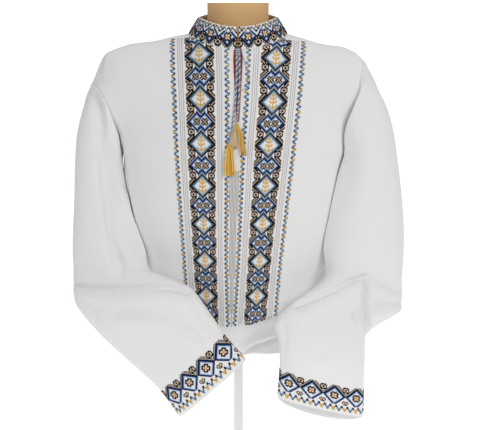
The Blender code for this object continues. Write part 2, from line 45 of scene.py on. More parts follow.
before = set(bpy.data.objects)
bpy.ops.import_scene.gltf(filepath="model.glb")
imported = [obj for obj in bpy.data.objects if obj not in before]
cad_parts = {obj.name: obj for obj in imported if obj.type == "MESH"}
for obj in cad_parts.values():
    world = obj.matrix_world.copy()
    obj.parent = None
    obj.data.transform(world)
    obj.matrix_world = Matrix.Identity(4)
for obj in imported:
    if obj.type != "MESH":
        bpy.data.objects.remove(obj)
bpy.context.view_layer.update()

# Heights and the places that the pieces share
NECK_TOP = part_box("form_neck")[1][2]
HEM = 0.425
ARMPIT = 0.86
SLIT_FOOT_TURN = 22.5

# Sections of the shirt's body below the armpit, from the hem up
BodyRing = namedtuple("BodyRing", "z right left front back")
BODY_RINGS = (
    BodyRing(0.425, 0.225, 0.225, 0.126, 0.116),
    BodyRing(0.550, 0.224, 0.222, 0.126, 0.114),
    BodyRing(0.700, 0.240, 0.225, 0.133, 0.114),
    BodyRing(0.780, 0.251, 0.228, 0.137, 0.117),
    BodyRing(0.860, 0.246, 0.232, 0.140, 0.120),
)
BODY_ROUNDNESS = 2.2

# The shoulder lines, from the neck out to the top of the armhole; out is the distance from the centre
Shoulder = namedtuple("Shoulder", "out z")
RIGHT_SHOULDER = (
    Shoulder(0.100, 1.1000),
    Shoulder(0.134, 1.0940),
    Shoulder(0.167, 1.0860),
    Shoulder(0.224, 1.0790),
    Shoulder(0.258, 1.0680),
    Shoulder(0.279, 1.0540),
    Shoulder(0.305, 1.0020),
)
LEFT_SHOULDER = (
    Shoulder(0.100, 1.1000),
    Shoulder(0.136, 1.0900),
    Shoulder(0.169, 1.0800),
    Shoulder(0.219, 1.0730),
    Shoulder(0.245, 1.0610),
    Shoulder(0.262, 1.0450),
)

# The neckline, and the collar that stands on it
NECKLINE_SHARE = 5 / 14
NECKLINE_HALF_WIDTH = 0.100
NECKLINE_FRONT = 0.098
NECKLINE_BACK = 0.075
NECKLINE_DROP_FRONT = 0.024
NECKLINE_RISE_BACK = 0.008
COLLAR_OVERLAP = 1.02
COLLAR_TOP_HALF_WIDTH = 0.080
COLLAR_TOP_FRONT = 0.085
COLLAR_TOP_BACK = 0.065
COLLAR_HEIGHT = 0.0400
COLLAR_GAP_FOOT = 0.0012
COLLAR_GAP_TOP = 0.0030
COLLAR_LIFT = -0.0020

# The armhole: how far its front and back edges bow out from the middle plane
ARMHOLE_FRONT = 0.068
ARMHOLE_BACK = 0.062
ARMHOLE_FULLNESS = 0.6

# Half the width of the neck slit, by the quarter turn from the armpit up to the neckline, in degrees
SlitWidth = namedtuple("SlitWidth", "turn half")
SLIT = (
    SlitWidth(22.5, 0.0000),
    SlitWidth(37.5, 0.0026),
    SlitWidth(52.5, 0.0052),
    SlitWidth(67.5, 0.0062),
    SlitWidth(82.5, 0.0040),
    SlitWidth(90.0, 0.0012),
)

# Large folds of the body: place across at foot and top, heights, half width across and depth inwards
BodyFold = namedtuple("BodyFold", "panel foot_at top_at foot_z top_z half depth")
BODY_FOLDS = (
    BodyFold("front", -0.62, -0.50, 0.400, 0.700, 0.10, 0.009),
    BodyFold("front", 0.60, 0.52, 0.400, 0.660, 0.11, 0.008),
    BodyFold("front", -0.84, -0.78, 0.430, 0.900, 0.08, 0.006),
    BodyFold("front", 0.82, 0.76, 0.430, 0.880, 0.08, 0.006),
    BodyFold("front", 0.12, 0.05, 0.400, 0.500, 0.10, 0.006),
    BodyFold("back", -0.66, -0.50, 0.400, 0.980, 0.10, 0.010),
    BodyFold("back", -0.18, -0.12, 0.400, 0.860, 0.11, 0.009),
    BodyFold("back", 0.28, 0.20, 0.400, 0.900, 0.10, 0.010),
    BodyFold("back", 0.72, 0.58, 0.400, 0.960, 0.09, 0.009),
)

# Sections of the sleeves: the edge nearest the body, the edge farthest from it, and how far the cloth bows
# out to the front and to the back between them
Section = namedtuple("Section", "name inner outer front back")
RIGHT_SLEEVE = (
    Section("armhole", (-0.246, 0.000, 0.860), (-0.305, 0.000, 1.002), 0.068, 0.062),
    Section("cap", (-0.251, -0.022, 0.845), (-0.322, -0.005, 0.965), 0.068, 0.060),
    Section("upper_1", (-0.250, -0.044, 0.815), (-0.332, -0.010, 0.915), 0.062, 0.048),
    Section("upper_2", (-0.247, -0.056, 0.770), (-0.342, -0.020, 0.850), 0.056, 0.042),
    Section("upper_3", (-0.232, -0.068, 0.720), (-0.350, -0.035, 0.760), 0.050, 0.040),
    Section("above_elbow", (-0.205, -0.088, 0.660), (-0.355, -0.055, 0.680), 0.045, 0.038),
    Section("elbow_fold", (-0.184, -0.108, 0.615), (-0.355, -0.075, 0.615), 0.040, 0.033),
    Section("elbow_turn", (-0.105, -0.165, 0.610), (-0.345, -0.120, 0.550), 0.040, 0.030),
    Section("forearm_1", (-0.085, -0.187, 0.600), (-0.300, -0.150, 0.505), 0.038, 0.030),
    Section("forearm_2", (-0.055, -0.202, 0.560), (-0.230, -0.170, 0.440), 0.034, 0.028),
    Section("cuff_top", (-0.022, -0.217, 0.515), (-0.160, -0.200, 0.385), 0.028, 0.024),
    Section("cuff_edge", (0.016, -0.227, 0.475), (-0.122, -0.217, 0.335), 0.026, 0.022),
)
LEFT_SLEEVE = (
    Section("armhole", (0.235, 0.000, 0.860), (0.262, 0.000, 1.045), 0.068, 0.062),
    Section("cap", (0.228, -0.040, 0.845), (0.290, -0.005, 0.995), 0.070, 0.060),
    Section("upper_1", (0.214, -0.070, 0.815), (0.312, -0.010, 0.930), 0.064, 0.043),
    Section("upper_2", (0.205, -0.084, 0.770), (0.332, -0.020, 0.850), 0.056, 0.036),
    Section("upper_3", (0.198, -0.093, 0.720), (0.348, -0.035, 0.760), 0.048, 0.036),
    Section("above_elbow", (0.189, -0.105, 0.660), (0.355, -0.055, 0.670), 0.045, 0.038),
    Section("elbow_fold", (0.183, -0.114, 0.602), (0.355, -0.075, 0.590), 0.040, 0.033),
    Section("elbow_turn", (0.105, -0.163, 0.565), (0.345, -0.112, 0.528), 0.040, 0.030),
    Section("forearm_1", (0.076, -0.184, 0.540), (0.272, -0.163, 0.498), 0.038, 0.030),
    Section("forearm_2", (0.084, -0.195, 0.500), (0.264, -0.190, 0.450), 0.034, 0.028),
    Section("cuff_top", (0.086, -0.203, 0.440), (0.263, -0.203, 0.391), 0.021, 0.015),
    Section("cuff_edge", (0.0824, -0.205, 0.374), (0.2657, -0.205, 0.327), 0.016, 0.012),
)
SLEEVE_FULLNESS = 0.75

# How sharply the front of each sleeve sinks in beside the body, above the elbow
RIGHT_HOLLOW = 2.6
LEFT_HOLLOW = 1.4

# How far the back of each cuff hangs below its front
CUFF_DROP = {"sleeve_right": 0.0, "sleeve_left": 0.033}

# Creases of the cloth, each along a line of places across and up as seen from the front: how far it sinks
# and half its width, how high the roll beside it stands and half the roll's width. side is 1 for a roll on
# the left of the line's heading and -1 for one on its right.
Crease = namedtuple("Crease", "piece depth half roll roll_half side line")
CREASES = (
    Crease("sleeve_right", 0.0120, 0.0040, 0.0070, 0.013, -1, (
        (-0.360, 0.586), (-0.323, 0.593), (-0.263, 0.602),
        (-0.188, 0.612), (-0.137, 0.617), (-0.080, 0.606))),
    Crease("sleeve_right", 0.0160, 0.0120, 0.0, 0.010, 1, (
        (-0.290, 1.000), (-0.280, 0.930), (-0.273, 0.860),
        (-0.268, 0.790), (-0.262, 0.711), (-0.244, 0.610))),
    Crease("sleeve_right", 0.0030, 0.0060, 0.0015, 0.010, -1, (
        (-0.105, 0.610), (-0.092, 0.596), (-0.066, 0.554), (-0.032, 0.524))),
    Crease("sleeve_right", 0.0050, 0.0070, 0.0035, 0.014, -1, (
        (-0.260, 0.560), (-0.218, 0.566), (-0.146, 0.561), (-0.096, 0.539), (-0.060, 0.500))),
    Crease("sleeve_right", 0.0030, 0.0070, 0.0020, 0.010, -1, (
        (-0.345, 0.575), (-0.310, 0.560), (-0.285, 0.530))),
    Crease("sleeve_left", 0.0110, 0.0040, 0.0060, 0.012, -1, (
        (0.110, 0.571), (0.127, 0.576), (0.177, 0.589), (0.223, 0.603), (0.266, 0.618))),
    Crease("sleeve_left", 0.0100, 0.0045, 0.0045, 0.010, -1, (
        (0.262, 0.626), (0.263, 0.615), (0.266, 0.571), (0.266, 0.516), (0.268, 0.470))),
    Crease("sleeve_left", 0.0040, 0.0050, 0.0025, 0.012, -1, (
        (0.258, 0.619), (0.299, 0.599), (0.334, 0.579), (0.358, 0.568))),
    Crease("sleeve_left", 0.0060, 0.0055, 0.0050, 0.012, -1, (
        (0.266, 0.560), (0.298, 0.558), (0.334, 0.552), (0.358, 0.548))),
    Crease("sleeve_left", 0.0025, 0.0070, 0.0020, 0.010, -1, (
        (0.091, 0.552), (0.095, 0.520), (0.094, 0.450))),
    Crease("sleeve_left", 0.0030, 0.0070, 0.0015, 0.010, 1, (
        (0.232, 0.560), (0.247, 0.525), (0.254, 0.470))),
    Crease("sleeve_left", 0.0040, 0.0150, 0.0, 0.010, 1, (
        (0.112, 0.560), (0.135, 0.545), (0.152, 0.515), (0.175, 0.470))),
    Crease("front", -0.0025, 0.0060, 0.0, 0.010, 1, (
        (-0.266, 1.058), (-0.268, 1.038), (-0.271, 1.012))),
    Crease("front", 0.0028, 0.0045, 0.0010, 0.006, 1, (
        (0.228, 1.052), (0.222, 1.012))),
    Crease("front", 0.0028, 0.0045, 0.0010, 0.006, 1, (
        (0.238, 1.034), (0.228, 0.978))),
    Crease("front", 0.0065, 0.0120, 0.0, 0.010, 1, (
        (0.215, 0.620), (0.183, 0.595), (0.133, 0.572), (0.095, 0.545))),
    Crease("front", 0.0070, 0.0045, 0.0040, 0.010, 1, (
        (0.012, 0.428), (0.022, 0.435), (0.048, 0.450), (0.090, 0.464))),
    Crease("front", 0.0035, 0.0040, 0.0020, 0.008, 1, (
        (0.000, 0.491), (0.0105, 0.495), (0.0684, 0.514), (0.092, 0.520))),
)

# The share of a crease's length over which it fades in and out at its ends
CREASE_END = 0.10

# Soft unevenness of the hanging cloth: the size of its waves across and along, and how far they swing
Wave = namedtuple("Wave", "across along swing")
WAVES = {
    "front": Wave(0.090, 0.400, 0.0016),
    "back": Wave(0.080, 0.360, 0.0030),
    "sleeve_right": Wave(0.055, 0.150, 0.0026),
    "sleeve_left": Wave(0.055, 0.150, 0.0026),
}

# A sleeve's girth for its waves, and the layer of the noise that the panels lie in
WAVE_GIRTH = 0.4
WAVE_LAYER = 7.3

# The gathers of a sleeve's seam: how high they stand, how far from the seam, how long and how many
SEAM_ROLL = 0.0015
SEAM_REACH = 0.007
SEAM_HALF = 0.0045
SEAM_PUCKERS = 24

# The smoothing of the front and back at the armpit's level, in rows each way and in passes
EASE_ROWS = 12
EASE_PASSES = 40

# How far beside the slit its cloth is drawn aside
SLIT_REACH = 0.03

# How near a sleeve has to hang beside the body to rest on it, and the share of the gap that closes
REST_REACH = 0.030
REST_SHARE = 0.9

# Sizes of the weave's map: a sleeve's radius and length
WEAVE_RADIUS = 0.065
WEAVE_LENGTH = 0.62

# The collar's grid
COLLAR_LEVELS = 12
COLLAR_POINTS = 200

# Cords and tassels: a cord's route is a list of places across and up. The yarn is thick and
# loose at the collar and drawn tight at the tassel.
YARN_RADIUS_TOP = 0.0026
YARN_RADIUS_FOOT = 0.0015
CORD_LIFT = 0.0009
COLLAR_CLEARANCE = 0.0006
RoutePoint = namedtuple("RoutePoint", "x z")
RIGHT_CORD = (
    RoutePoint(-0.0018, 1.0770),
    RoutePoint(-0.0024, 1.0660),
    RoutePoint(-0.0022, 1.0400),
    RoutePoint(-0.0030, 1.0100),
    RoutePoint(-0.0050, 0.9800),
    RoutePoint(-0.0085, 0.9500),
    RoutePoint(-0.0130, 0.9220),
    RoutePoint(-0.0170, 0.9030),
)
LEFT_CORD = (
    RoutePoint(0.0018, 1.0770),
    RoutePoint(0.0024, 1.0660),
    RoutePoint(0.0030, 1.0400),
    RoutePoint(0.0026, 1.0100),
    RoutePoint(0.0012, 0.9800),
    RoutePoint(-0.0010, 0.9550),
    RoutePoint(-0.0022, 0.9400),
)
LOOSE_THREAD = (
    RoutePoint(0.0050, 1.0730),
    RoutePoint(0.0107, 1.0600),
    RoutePoint(0.0154, 1.0450),
    RoutePoint(0.0196, 1.0300),
    RoutePoint(0.0227, 1.0200),
    RoutePoint(0.0224, 1.0120),
    RoutePoint(0.0164, 1.0050),
    RoutePoint(0.0060, 1.0010),
)
LOOSE_THREAD_RADIUS = 0.00055
LOOSE_THREAD_LIFT = 0.0030
LOOSE_THREAD_STEPS = 42
CORD_STEP = 0.006

# Each ply lies this share of the yarn's radius out from its middle, and is this share of it thick
PLY_OUT = 0.46
PLY_THICK = 0.56
Tassel = namedtuple("Tassel", "top_x top_z foot_x foot_z top_width foot_width depth")
RIGHT_TASSEL = Tassel(-0.0171, 0.9022, -0.0165, 0.8350, 0.0046, 0.0230, 0.0085)
LEFT_TASSEL = Tassel(-0.0022, 0.9392, 0.0050, 0.8760, 0.0046, 0.0240, 0.0085)
TASSEL_LIFT = 0.0008

# The locks of a full tassel and of one that is split: place across, spread, and the share of the whole length
Lock = namedtuple("Lock", "across spread reach")
FULL_LOCKS = (Lock(-0.28, 0.20, 1.0), Lock(0.10, 0.22, 1.0), Lock(0.30, 0.16, 1.0))
SPLIT_LOCKS = (Lock(-0.38, 0.09, 0.80), Lock(0.28, 0.20, 1.0), Lock(0.36, 0.13, 1.0))
WRAP_RADIUS = 0.00055

# The first face that is dark on a strand with a dark end
DARK_END_FROM = 35
TASSEL_COLOURS = (
    ("tassel_gold", (0.90, 0.53, 0.030)),
    ("tassel_pale", (0.93, 0.70, 0.24)),
    ("tassel_dark", (0.16, 0.04, 0.02)),
)
PLY_COLOURS = ((0.17, 0.23, 0.34), (0.68, 0.69, 0.73), (0.17, 0.16, 0.24))

# Thread colours of the cross-stitch, by the letter that the charts use
THREADS = {
    "K": ("thread_black", (0.004, 0.004, 0.005)),
    "N": ("thread_navy", (0.006, 0.016, 0.105)),
    "B": ("thread_blue", (0.020, 0.115, 0.400)),
    "S": ("thread_steel", (0.120, 0.215, 0.330)),
    "L": ("thread_pale_blue", (0.560, 0.720, 0.880)),
    "P": ("thread_peach", (0.900, 0.640, 0.430)),
    # O is rust thread in the large flowers, and painted shade along the neck slit
    "O": ("thread_rust", (0.400, 0.060, 0.018)),
    "G": ("thread_gold", (0.780, 0.490, 0.110)),
    # H is no thread: grey marks of painted shade where the drawn-thread holes are
    "H": ("drawn_hole", (0.340, 0.310, 0.290)),
}
THREAD_LETTERS = "".join(THREADS)

FLOWER = (
    ".KK.KK.",
    "KPKKKPK",
    "KKPKPKK",
    ".KKPKK.",
    "KKPKPKK",
    "KPKKKPK",
    ".KK.KK.",
)
LARGE_FLOWER = (
    "..KK.KK..",
    ".KKKKKKK.",
    "KKPPKPPKK",
    "KKPPPPPKK",
    ".KKPOPKK.",
    "KKPPPPPKK",
    "KKPPKPPKK",
    ".KKKKKKK.",
    "..KK.KK..",
)
SCROLL_RING = (
    ".KKKKK.",
    "KKKPKKK",
    "KP.K.PK",
    "KPKKKPK",
    "KP.K.PK",
    "KKKPKKK",
    ".KKKKK.",
)
CUFF_CURL = (
    ".KK.KK.",
    "KPPKPPK",
    "KP.K.PK",
    ".KKPKK.",
    "..KKK..",
)
CURL = (
    "KK.KK",
    "K.K.K",
    ".KKK.",
    "..K..",
)
WHEAT_SPRIG = (
    "....G....",
    "...GGG...",
    "...GGG...",
    ".G..G..G.",
    ".GG.G.GG.",
    "..GGGGG..",
    "....G....",
    ".G..G..G.",
    ".GG.G.GG.",
    "..GGGGG..",
    "....G....",
    "G...G...G",
    "GG..G..GG",
    ".GGGGGGG.",
    "...GGG...",
    "....G....",
    "....G....",
)


def blend(low, high, share):
    """The value a share of the way from low to high."""
    return low + (high - low) * share


def smooth_step(low, high, value):
    """A smooth rise from 0 at low to 1 at high."""
    share = min(max((value - low) / (high - low), 0.0), 1.0)
    return share * share * (3.0 - 2.0 * share)


def hermite(before, low, high, after, share):
    """A point between low and high on the smooth curve through four evenly spaced values."""
    rise_low = (high - before) / 2
    rise_high = (after - low) / 2
    square = share * share
    cube = square * share
    return (
        low * (2 * cube - 3 * square + 1)
        + rise_low * (cube - 2 * square + share)
        + high * (3 * square - 2 * cube)
        + rise_high * (cube - square)
    )


def along(values, at):
    """The smooth curve through evenly spaced values, read at a place counted in steps."""
    step = min(int(at), len(values) - 2)
    before = values[step - 1] if step > 0 else values[0] * 2 - values[1]
    last = len(values) - 1
    after = values[step + 2] if step + 2 <= last else values[last] * 2 - values[last - 1]
    return hermite(before, values[step], values[step + 1], after, at - step)


def place_in(keys, key):
    """Where a key lies in a rising list, counted in steps."""
    key = min(max(key, keys[0]), keys[-1])
    step = 0
    while step < len(keys) - 2 and key > keys[step + 1]:
        step += 1
    return step + (key - keys[step]) / (keys[step + 1] - keys[step])


def read_table(table, key, value, at):
    """One column of a table, read on a smooth curve at a place in another of its columns."""
    keys = [getattr(row, key) for row in table]
    values = [getattr(row, value) for row in table]
    return along(values, place_in(keys, at))


def straight_table(table, key, value, at):
    """One column of a table, read along straight lines between its rows."""
    keys = [getattr(row, key) for row in table]
    values = [getattr(row, value) for row in table]
    place = place_in(keys, at)
    step = min(int(place), len(values) - 2)
    return blend(values[step], values[step + 1], place - step)


def ring_point(rings, depth, height, share, squareness):
    """A point of a body section: share runs from -1 to 1 across, and depth names the column of the table."""
    width = read_table(rings, "z", "right" if share < 0 else "left", height)
    deep = read_table(rings, "z", depth, height)
    side = -1.0 if depth == "front" else 1.0
    fullness = max(1.0 - abs(share) ** BODY_ROUNDNESS, 0.0) ** squareness
    return width * share, side * deep * fullness


def shoulder_of(across):
    """The shoulder line on this side."""
    return RIGHT_SHOULDER if across < 0 else LEFT_SHOULDER


def neckline(angle, scale=1.0):
    """A point of the neckline: angle 0 is the centre front and a half turn the centre back."""
    front = math.cos(angle) > 0
    reach = NECKLINE_FRONT if front else NECKLINE_BACK
    lift = NECKLINE_DROP_FRONT if front else NECKLINE_RISE_BACK
    return Vector(
        (
            NECKLINE_HALF_WIDTH * scale * math.sin(angle),
            -reach * scale * math.cos(angle),
            RIGHT_SHOULDER[0].z - lift * math.cos(angle) * abs(math.cos(angle)),
        )
    )


def top_point(panel, across):
    """The panel's upper edge: the neckline, then the shoulder line; across runs from -1 to 1."""
    sign = -1.0 if across < 0 else 1.0
    if abs(across) <= NECKLINE_SHARE:
        angle = across / NECKLINE_SHARE * math.pi / 2
        if panel == "back":
            angle = math.pi - angle
        return neckline(angle)
    share = (abs(across) - NECKLINE_SHARE) / (1.0 - NECKLINE_SHARE)
    share = 0.5 * share + 0.5 * math.sin(share * math.pi / 2)
    table = shoulder_of(across)
    out = blend(table[0].out, table[-1].out, share)
    return Vector((sign * out, 0.0, read_table(table, "out", "z", out)))


def armhole_bow(panel, turn):
    """How far the armhole's edge bows to the front or back at a quarter turn between armpit and shoulder."""
    reach = -ARMHOLE_FRONT if panel == "front" else ARMHOLE_BACK
    return reach * max(math.sin(2 * turn), 0.0) ** ARMHOLE_FULLNESS


def fold_depth(panel, across, height):
    """How far the large folds of this panel sink below its plain form."""
    depth = 0.0
    for fold in BODY_FOLDS:
        if fold.panel != panel:
            continue
        share = (height - fold.foot_z) / (fold.top_z - fold.foot_z)
        if share > 1.0:
            continue
        centre = blend(fold.foot_at, fold.top_at, max(share, 0.0))
        away = abs(across - centre) / fold.half
        if away < 1.0:
            fade = 1.0 - smooth_step(0.55, 1.0, share)
            depth += fold.depth * fade * math.cos(away * math.pi / 2) ** 2
    return depth


def body_point(panel, across, climb):
    """A point of the panel's outer face.

    across runs from -1 at the wearer's right side to 1 at the left one. climb runs from -1 at the hem to 0 at
    the armpit, and to 1 at the shoulder line and neckline.
    """
    bend = math.sin(across * math.pi / 2)
    if climb <= 0.0:
        height = blend(ARMPIT, HEM, -climb)
        x, y = ring_point(BODY_RINGS, panel, height, bend, 1 / BODY_ROUNDNESS)
        point = Vector((x, y, height))
    else:
        turn = climb * math.pi / 2
        opening = smooth_step(0.0, 25.0, math.degrees(turn))
        share = blend(bend, across, opening)
        x, y = ring_point(BODY_RINGS, panel, ARMPIT, share, blend(1 / BODY_ROUNDNESS, 0.9, opening))
        top = top_point(panel, across)
        drop = math.cos(turn)
        point = Vector(
            (
                top.x + (x - top.x) * drop,
                top.y + (y - top.y) * drop + armhole_bow(panel, turn) * abs(share) ** 3,
                ARMPIT + (top.z - ARMPIT) * math.sin(turn),
            )
        )
    sink = fold_depth(panel, across, point.z)
    inward = Vector((point.x, point.y * 3.0, 0.0)).normalized()
    return point - inward * sink


def slit_half_width(climb):
    """Half the slit's width at a place up the panel."""
    return straight_table(SLIT, "turn", "half", climb * 90.0)


def sleeve_ring(sections, place):
    """Edges and bows of a sleeve at a place along it, counted in sections."""
    inner = along([Vector(section.inner) for section in sections], place)
    outer = along([Vector(section.outer) for section in sections], place)
    front = along([section.front for section in sections], place)
    back = along([section.back for section in sections], place)
    return inner, outer, front, back


def sleeve_frame(sections, place):
    """The section's edges and bows with the direction that its front bows out to."""
    inner, outer, front, back = sleeve_ring(sections, place)
    inner_low, outer_low, _, _ = sleeve_ring(sections, max(place - 0.25, 0.0))
    inner_high, outer_high, _, _ = sleeve_ring(sections, min(place + 0.25, len(sections) - 1.0))
    heading = (inner_high + outer_high) - (inner_low + outer_low)
    forward = (outer - inner).cross(heading)
    if forward.y > 0:
        forward = -forward
    forward.normalize()
    armhole = 1.0 - smooth_step(0.0, 1.6, place)
    forward = (forward * (1.0 - armhole) + Vector((0.0, -1.0, 0.0)) * armhole).normalized()
    deepest = RIGHT_HOLLOW if sections[0].inner[0] < 0 else LEFT_HOLLOW
    hollow = blend(SLEEVE_FULLNESS, deepest, 1.0 - smooth_step(4.4, 5.8, place))
    return inner, outer, front, back, forward, armhole, hollow


def sleeve_point(section, angle):
    """A point of the sleeve's outer face. angle 0 is the inner edge, and it goes round by the front."""
    inner, outer, front, back, forward, armhole, hollow = section
    half = math.sin(angle / 2)
    level = half * half
    reach_out = blend(level, 1.0 - abs(math.cos(angle / 2)), armhole)
    reach_up = blend(level, abs(half), armhole)
    point = Vector(
        (
            blend(inner.x, outer.x, reach_out),
            blend(inner.y, outer.y, level),
            blend(inner.z, outer.z, reach_up),
        )
    )
    swing = math.sin(angle)
    inner_front = smooth_step(0.0, 0.9, math.cos(angle)) if swing > 0 else 0.0
    fullness = blend(SLEEVE_FULLNESS, hollow, inner_front)
    fullness = blend(fullness, ARMHOLE_FULLNESS, armhole)
    bow = (front if swing > 0 else -back) * abs(swing) ** fullness
    return point + forward * bow


def collar_point(share, angle):
    """A point of the collar's outer face, from its foot at share 0 to its top at share 1."""
    foot = neckline(angle, COLLAR_OVERLAP)
    reach = COLLAR_TOP_FRONT if math.cos(angle) > 0 else COLLAR_TOP_BACK
    top = Vector((COLLAR_TOP_HALF_WIDTH * math.sin(angle), -reach * math.cos(angle), 0.0))
    lean = math.hypot(foot.x - top.x, foot.y - top.y)
    foot.z += COLLAR_LIFT
    rise = COLLAR_HEIGHT + 0.0035 * max(math.cos(angle), 0.0)
    top.z = foot.z + math.sqrt(max(rise**2 - lean**2, 0.0)) * 1.03
    bulge = 0.0012 * math.sin(share * math.pi)
    point = foot.lerp(top, share)
    out = Vector((point.x, point.y, 0.0)).normalized()
    return point + out * bulge


def front_at(x, z):
    """The place on the front panel, across and climb, that lies at this x and height."""
    across = 0.0
    climb = 0.0
    for _ in range(4):
        top = top_point("front", across).z
        if z > ARMPIT:
            climb = math.asin(min((z - ARMPIT) / (top - ARMPIT), 1.0)) / (math.pi / 2)
        else:
            climb = (z - ARMPIT) / (ARMPIT - HEM)
        low, high = -1.0, 1.0
        for _ in range(20):
            across = (low + high) / 2
            if body_point("front", across, climb).x < x:
                low = across
            else:
                high = across
    return across, climb


def front_face(x, z, lift):
    """A point in front of the front panel, at this x and height and this far off its face."""
    across, climb = front_at(x, z)
    point = body_point("front", across, climb)
    return Vector((x, point.y - lift, z))


# The part of the front and of the cuffs that the cross-stitch is laid on, and the steps that it is read in
GROUND_HALF = 0.170
GROUND_STEP = 0.0034
GROUND_FOOT = 0.47
GROUND_TOP = 1.17
GROUND_RISE = 0.004
CUFF_GROUND_TOP = 0.092
CUFF_GROUND_RISE = 0.002


class Ground:
    """A cloth face as a grid: places across and up it, in metres, lead to points just off it."""

    def __init__(self, across, up, points):
        self.across = across
        self.up = up
        self.points = points

    def at(self, across, up):
        column = np.clip(np.searchsorted(self.across, across) - 1, 0, len(self.across) - 2)
        row = np.clip(np.searchsorted(self.up, up) - 1, 0, len(self.up) - 2)
        share = (across - self.across[column]) / (self.across[column + 1] - self.across[column])
        rise = (up - self.up[row]) / (self.up[row + 1] - self.up[row])
        inside = (share > -0.01) & (share < 1.01) & (rise > -0.01) & (rise < 1.01)
        share = share[:, None]
        rise = rise[:, None]
        low = self.points[row, column] * (1 - share) + self.points[row, column + 1] * share
        high = self.points[row + 1, column] * (1 - share) + self.points[row + 1, column + 1] * share
        found = low * (1 - rise) + high * rise
        found[~inside] = np.nan
        return found


def lengths_along(points):
    """Running lengths down the first axis of an array of points."""
    steps = np.linalg.norm(np.diff(points, axis=0), axis=-1)
    return np.concatenate([np.zeros((1,) + steps.shape[1:]), np.cumsum(steps, axis=0)])


def front_ground(grid):
    """The front panel read along lines of constant x: up is height below the armpit and length above it."""
    lines = np.arange(-GROUND_HALF, GROUND_HALF + 0.0001, GROUND_STEP)
    traced = np.empty((grid.shape[0], len(lines), 3))
    traced[:, :, 0] = lines
    for row in range(grid.shape[0]):
        for axis in (1, 2):
            traced[row, :, axis] = np.interp(lines, grid[row, :, 0], grid[row, :, axis])
    level = lengths_along(traced)
    armpit_row = int(np.argmin(np.abs(traced[:, 0, 2] - ARMPIT)))
    level += ARMPIT - level[armpit_row]
    up = np.arange(GROUND_FOOT, GROUND_TOP, GROUND_RISE)
    points = np.full((len(up), len(lines), 3), np.nan)
    for line in range(len(lines)):
        for axis in range(3):
            points[:, line, axis] = np.interp(
                up, level[:, line], traced[:, line, axis], left=np.nan, right=np.nan
            )
    return Ground(lines, up, points)


def cuff_ground(grid):
    """The last stretch of a sleeve, read up from its edge. The grid's rows run towards the edge."""
    points = grid[::-1]
    points = np.concatenate([points, points[:, :1]], axis=1)
    level = lengths_along(points)
    up = np.arange(0.0, CUFF_GROUND_TOP, CUFF_GROUND_RISE)
    read = np.empty((len(up), points.shape[1], 3))
    for line in range(points.shape[1]):
        for axis in range(3):
            read[:, line, axis] = np.interp(up, level[:, line], points[:, line, axis])
    across = lengths_along(np.swapaxes(read, 0, 1))[:, len(up) // 3]
    return Ground(across, up, read)


def collar_ground(grid):
    """The collar's face: across starts at the wearer's left end of it, up starts at its foot."""
    across = lengths_along(np.swapaxes(grid, 0, 1)).mean(axis=1)
    up = lengths_along(grid).mean(axis=1)
    return Ground(across, up, grid)


def new_material(name, colour, roughness):
    """A material with its nodes, links and shader."""
    made = bpy.data.materials.new(name)
    made.use_nodes = True
    nodes = made.node_tree.nodes
    shader = nodes["Principled BSDF"]
    shader.inputs["Base Color"].default_value = (*colour, 1.0)
    shader.inputs["Roughness"].default_value = roughness
    made.diffuse_color = (*colour, 1.0)
    return made, nodes, made.node_tree.links, shader


def tint_by(nodes, links, shader, source, colour, low, high):
    """The colour varied between two shares of itself by a value."""
    ramp = nodes.new("ShaderNodeValToRGB")
    ramp.color_ramp.elements[0].position = 0.3
    ramp.color_ramp.elements[0].color = (*[min(part * low, 1.0) for part in colour], 1.0)
    ramp.color_ramp.elements[1].position = 0.7
    ramp.color_ramp.elements[1].color = (*[min(part * high, 1.0) for part in colour], 1.0)
    links.new(source, ramp.inputs["Fac"])
    links.new(ramp.outputs["Color"], shader.inputs["Base Color"])


def math_node(nodes, links, operation, *values):
    """The result of a Math node over numbers and other nodes' results."""
    node = nodes.new("ShaderNodeMath")
    node.operation = operation
    for number, value in enumerate(values):
        if isinstance(value, float):
            node.inputs[number].default_value = value
        else:
            links.new(value, node.inputs[number])
    return node.outputs["Value"]


def noise_node(nodes, links, places, scale, detail):
    """The value of a noise texture at these places."""
    texture = nodes.new("ShaderNodeTexNoise")
    texture.inputs["Scale"].default_value = scale
    texture.inputs["Detail"].default_value = detail
    links.new(places, texture.inputs["Vector"])
    return texture.outputs["Fac"]


def bump_by(nodes, links, shader, source, strength, depth):
    """Raises the surface by a value."""
    bump = nodes.new("ShaderNodeBump")
    bump.inputs["Strength"].default_value = strength
    bump.inputs["Distance"].default_value = depth
    links.new(source, bump.inputs["Height"])
    links.new(bump.outputs["Normal"], shader.inputs["Normal"])


def linen_material(sizes):
    """Plain-woven linen: threads over and under, slubs and a soft nap, all from the cloth's own UV map."""
    made = bpy.data.materials.get("linen")
    if made:
        return made
    colour = tuple(sizes.linen_colour)
    made, nodes, links, shader = new_material("linen", colour, 0.88)
    shader.inputs["Sheen Weight"].default_value = 0.20
    shader.inputs["Sheen Roughness"].default_value = 0.5
    uv = nodes.new("ShaderNodeUVMap")
    uv.uv_map = "weave"
    split = nodes.new("ShaderNodeSeparateXYZ")
    links.new(uv.outputs["UV"], split.inputs["Vector"])
    waves = []
    for axis in ("X", "Y"):
        turn = math_node(nodes, links, "MULTIPLY", split.outputs[axis], math.pi / sizes.weave_pitch)
        waves.append(math_node(nodes, links, "SINE", turn))
    crossing = math_node(nodes, links, "MULTIPLY", *waves)
    slubs = noise_node(nodes, links, uv.outputs["UV"], 260.0, 4.0)
    height = math_node(nodes, links, "MULTIPLY_ADD", crossing, 0.5, slubs)
    bump_by(nodes, links, shader, height, 0.30, 0.0004)
    clouds = noise_node(nodes, links, uv.outputs["UV"], 14.0, 6.0)
    tint_by(nodes, links, shader, clouds, colour, 0.97, 1.02)
    return made


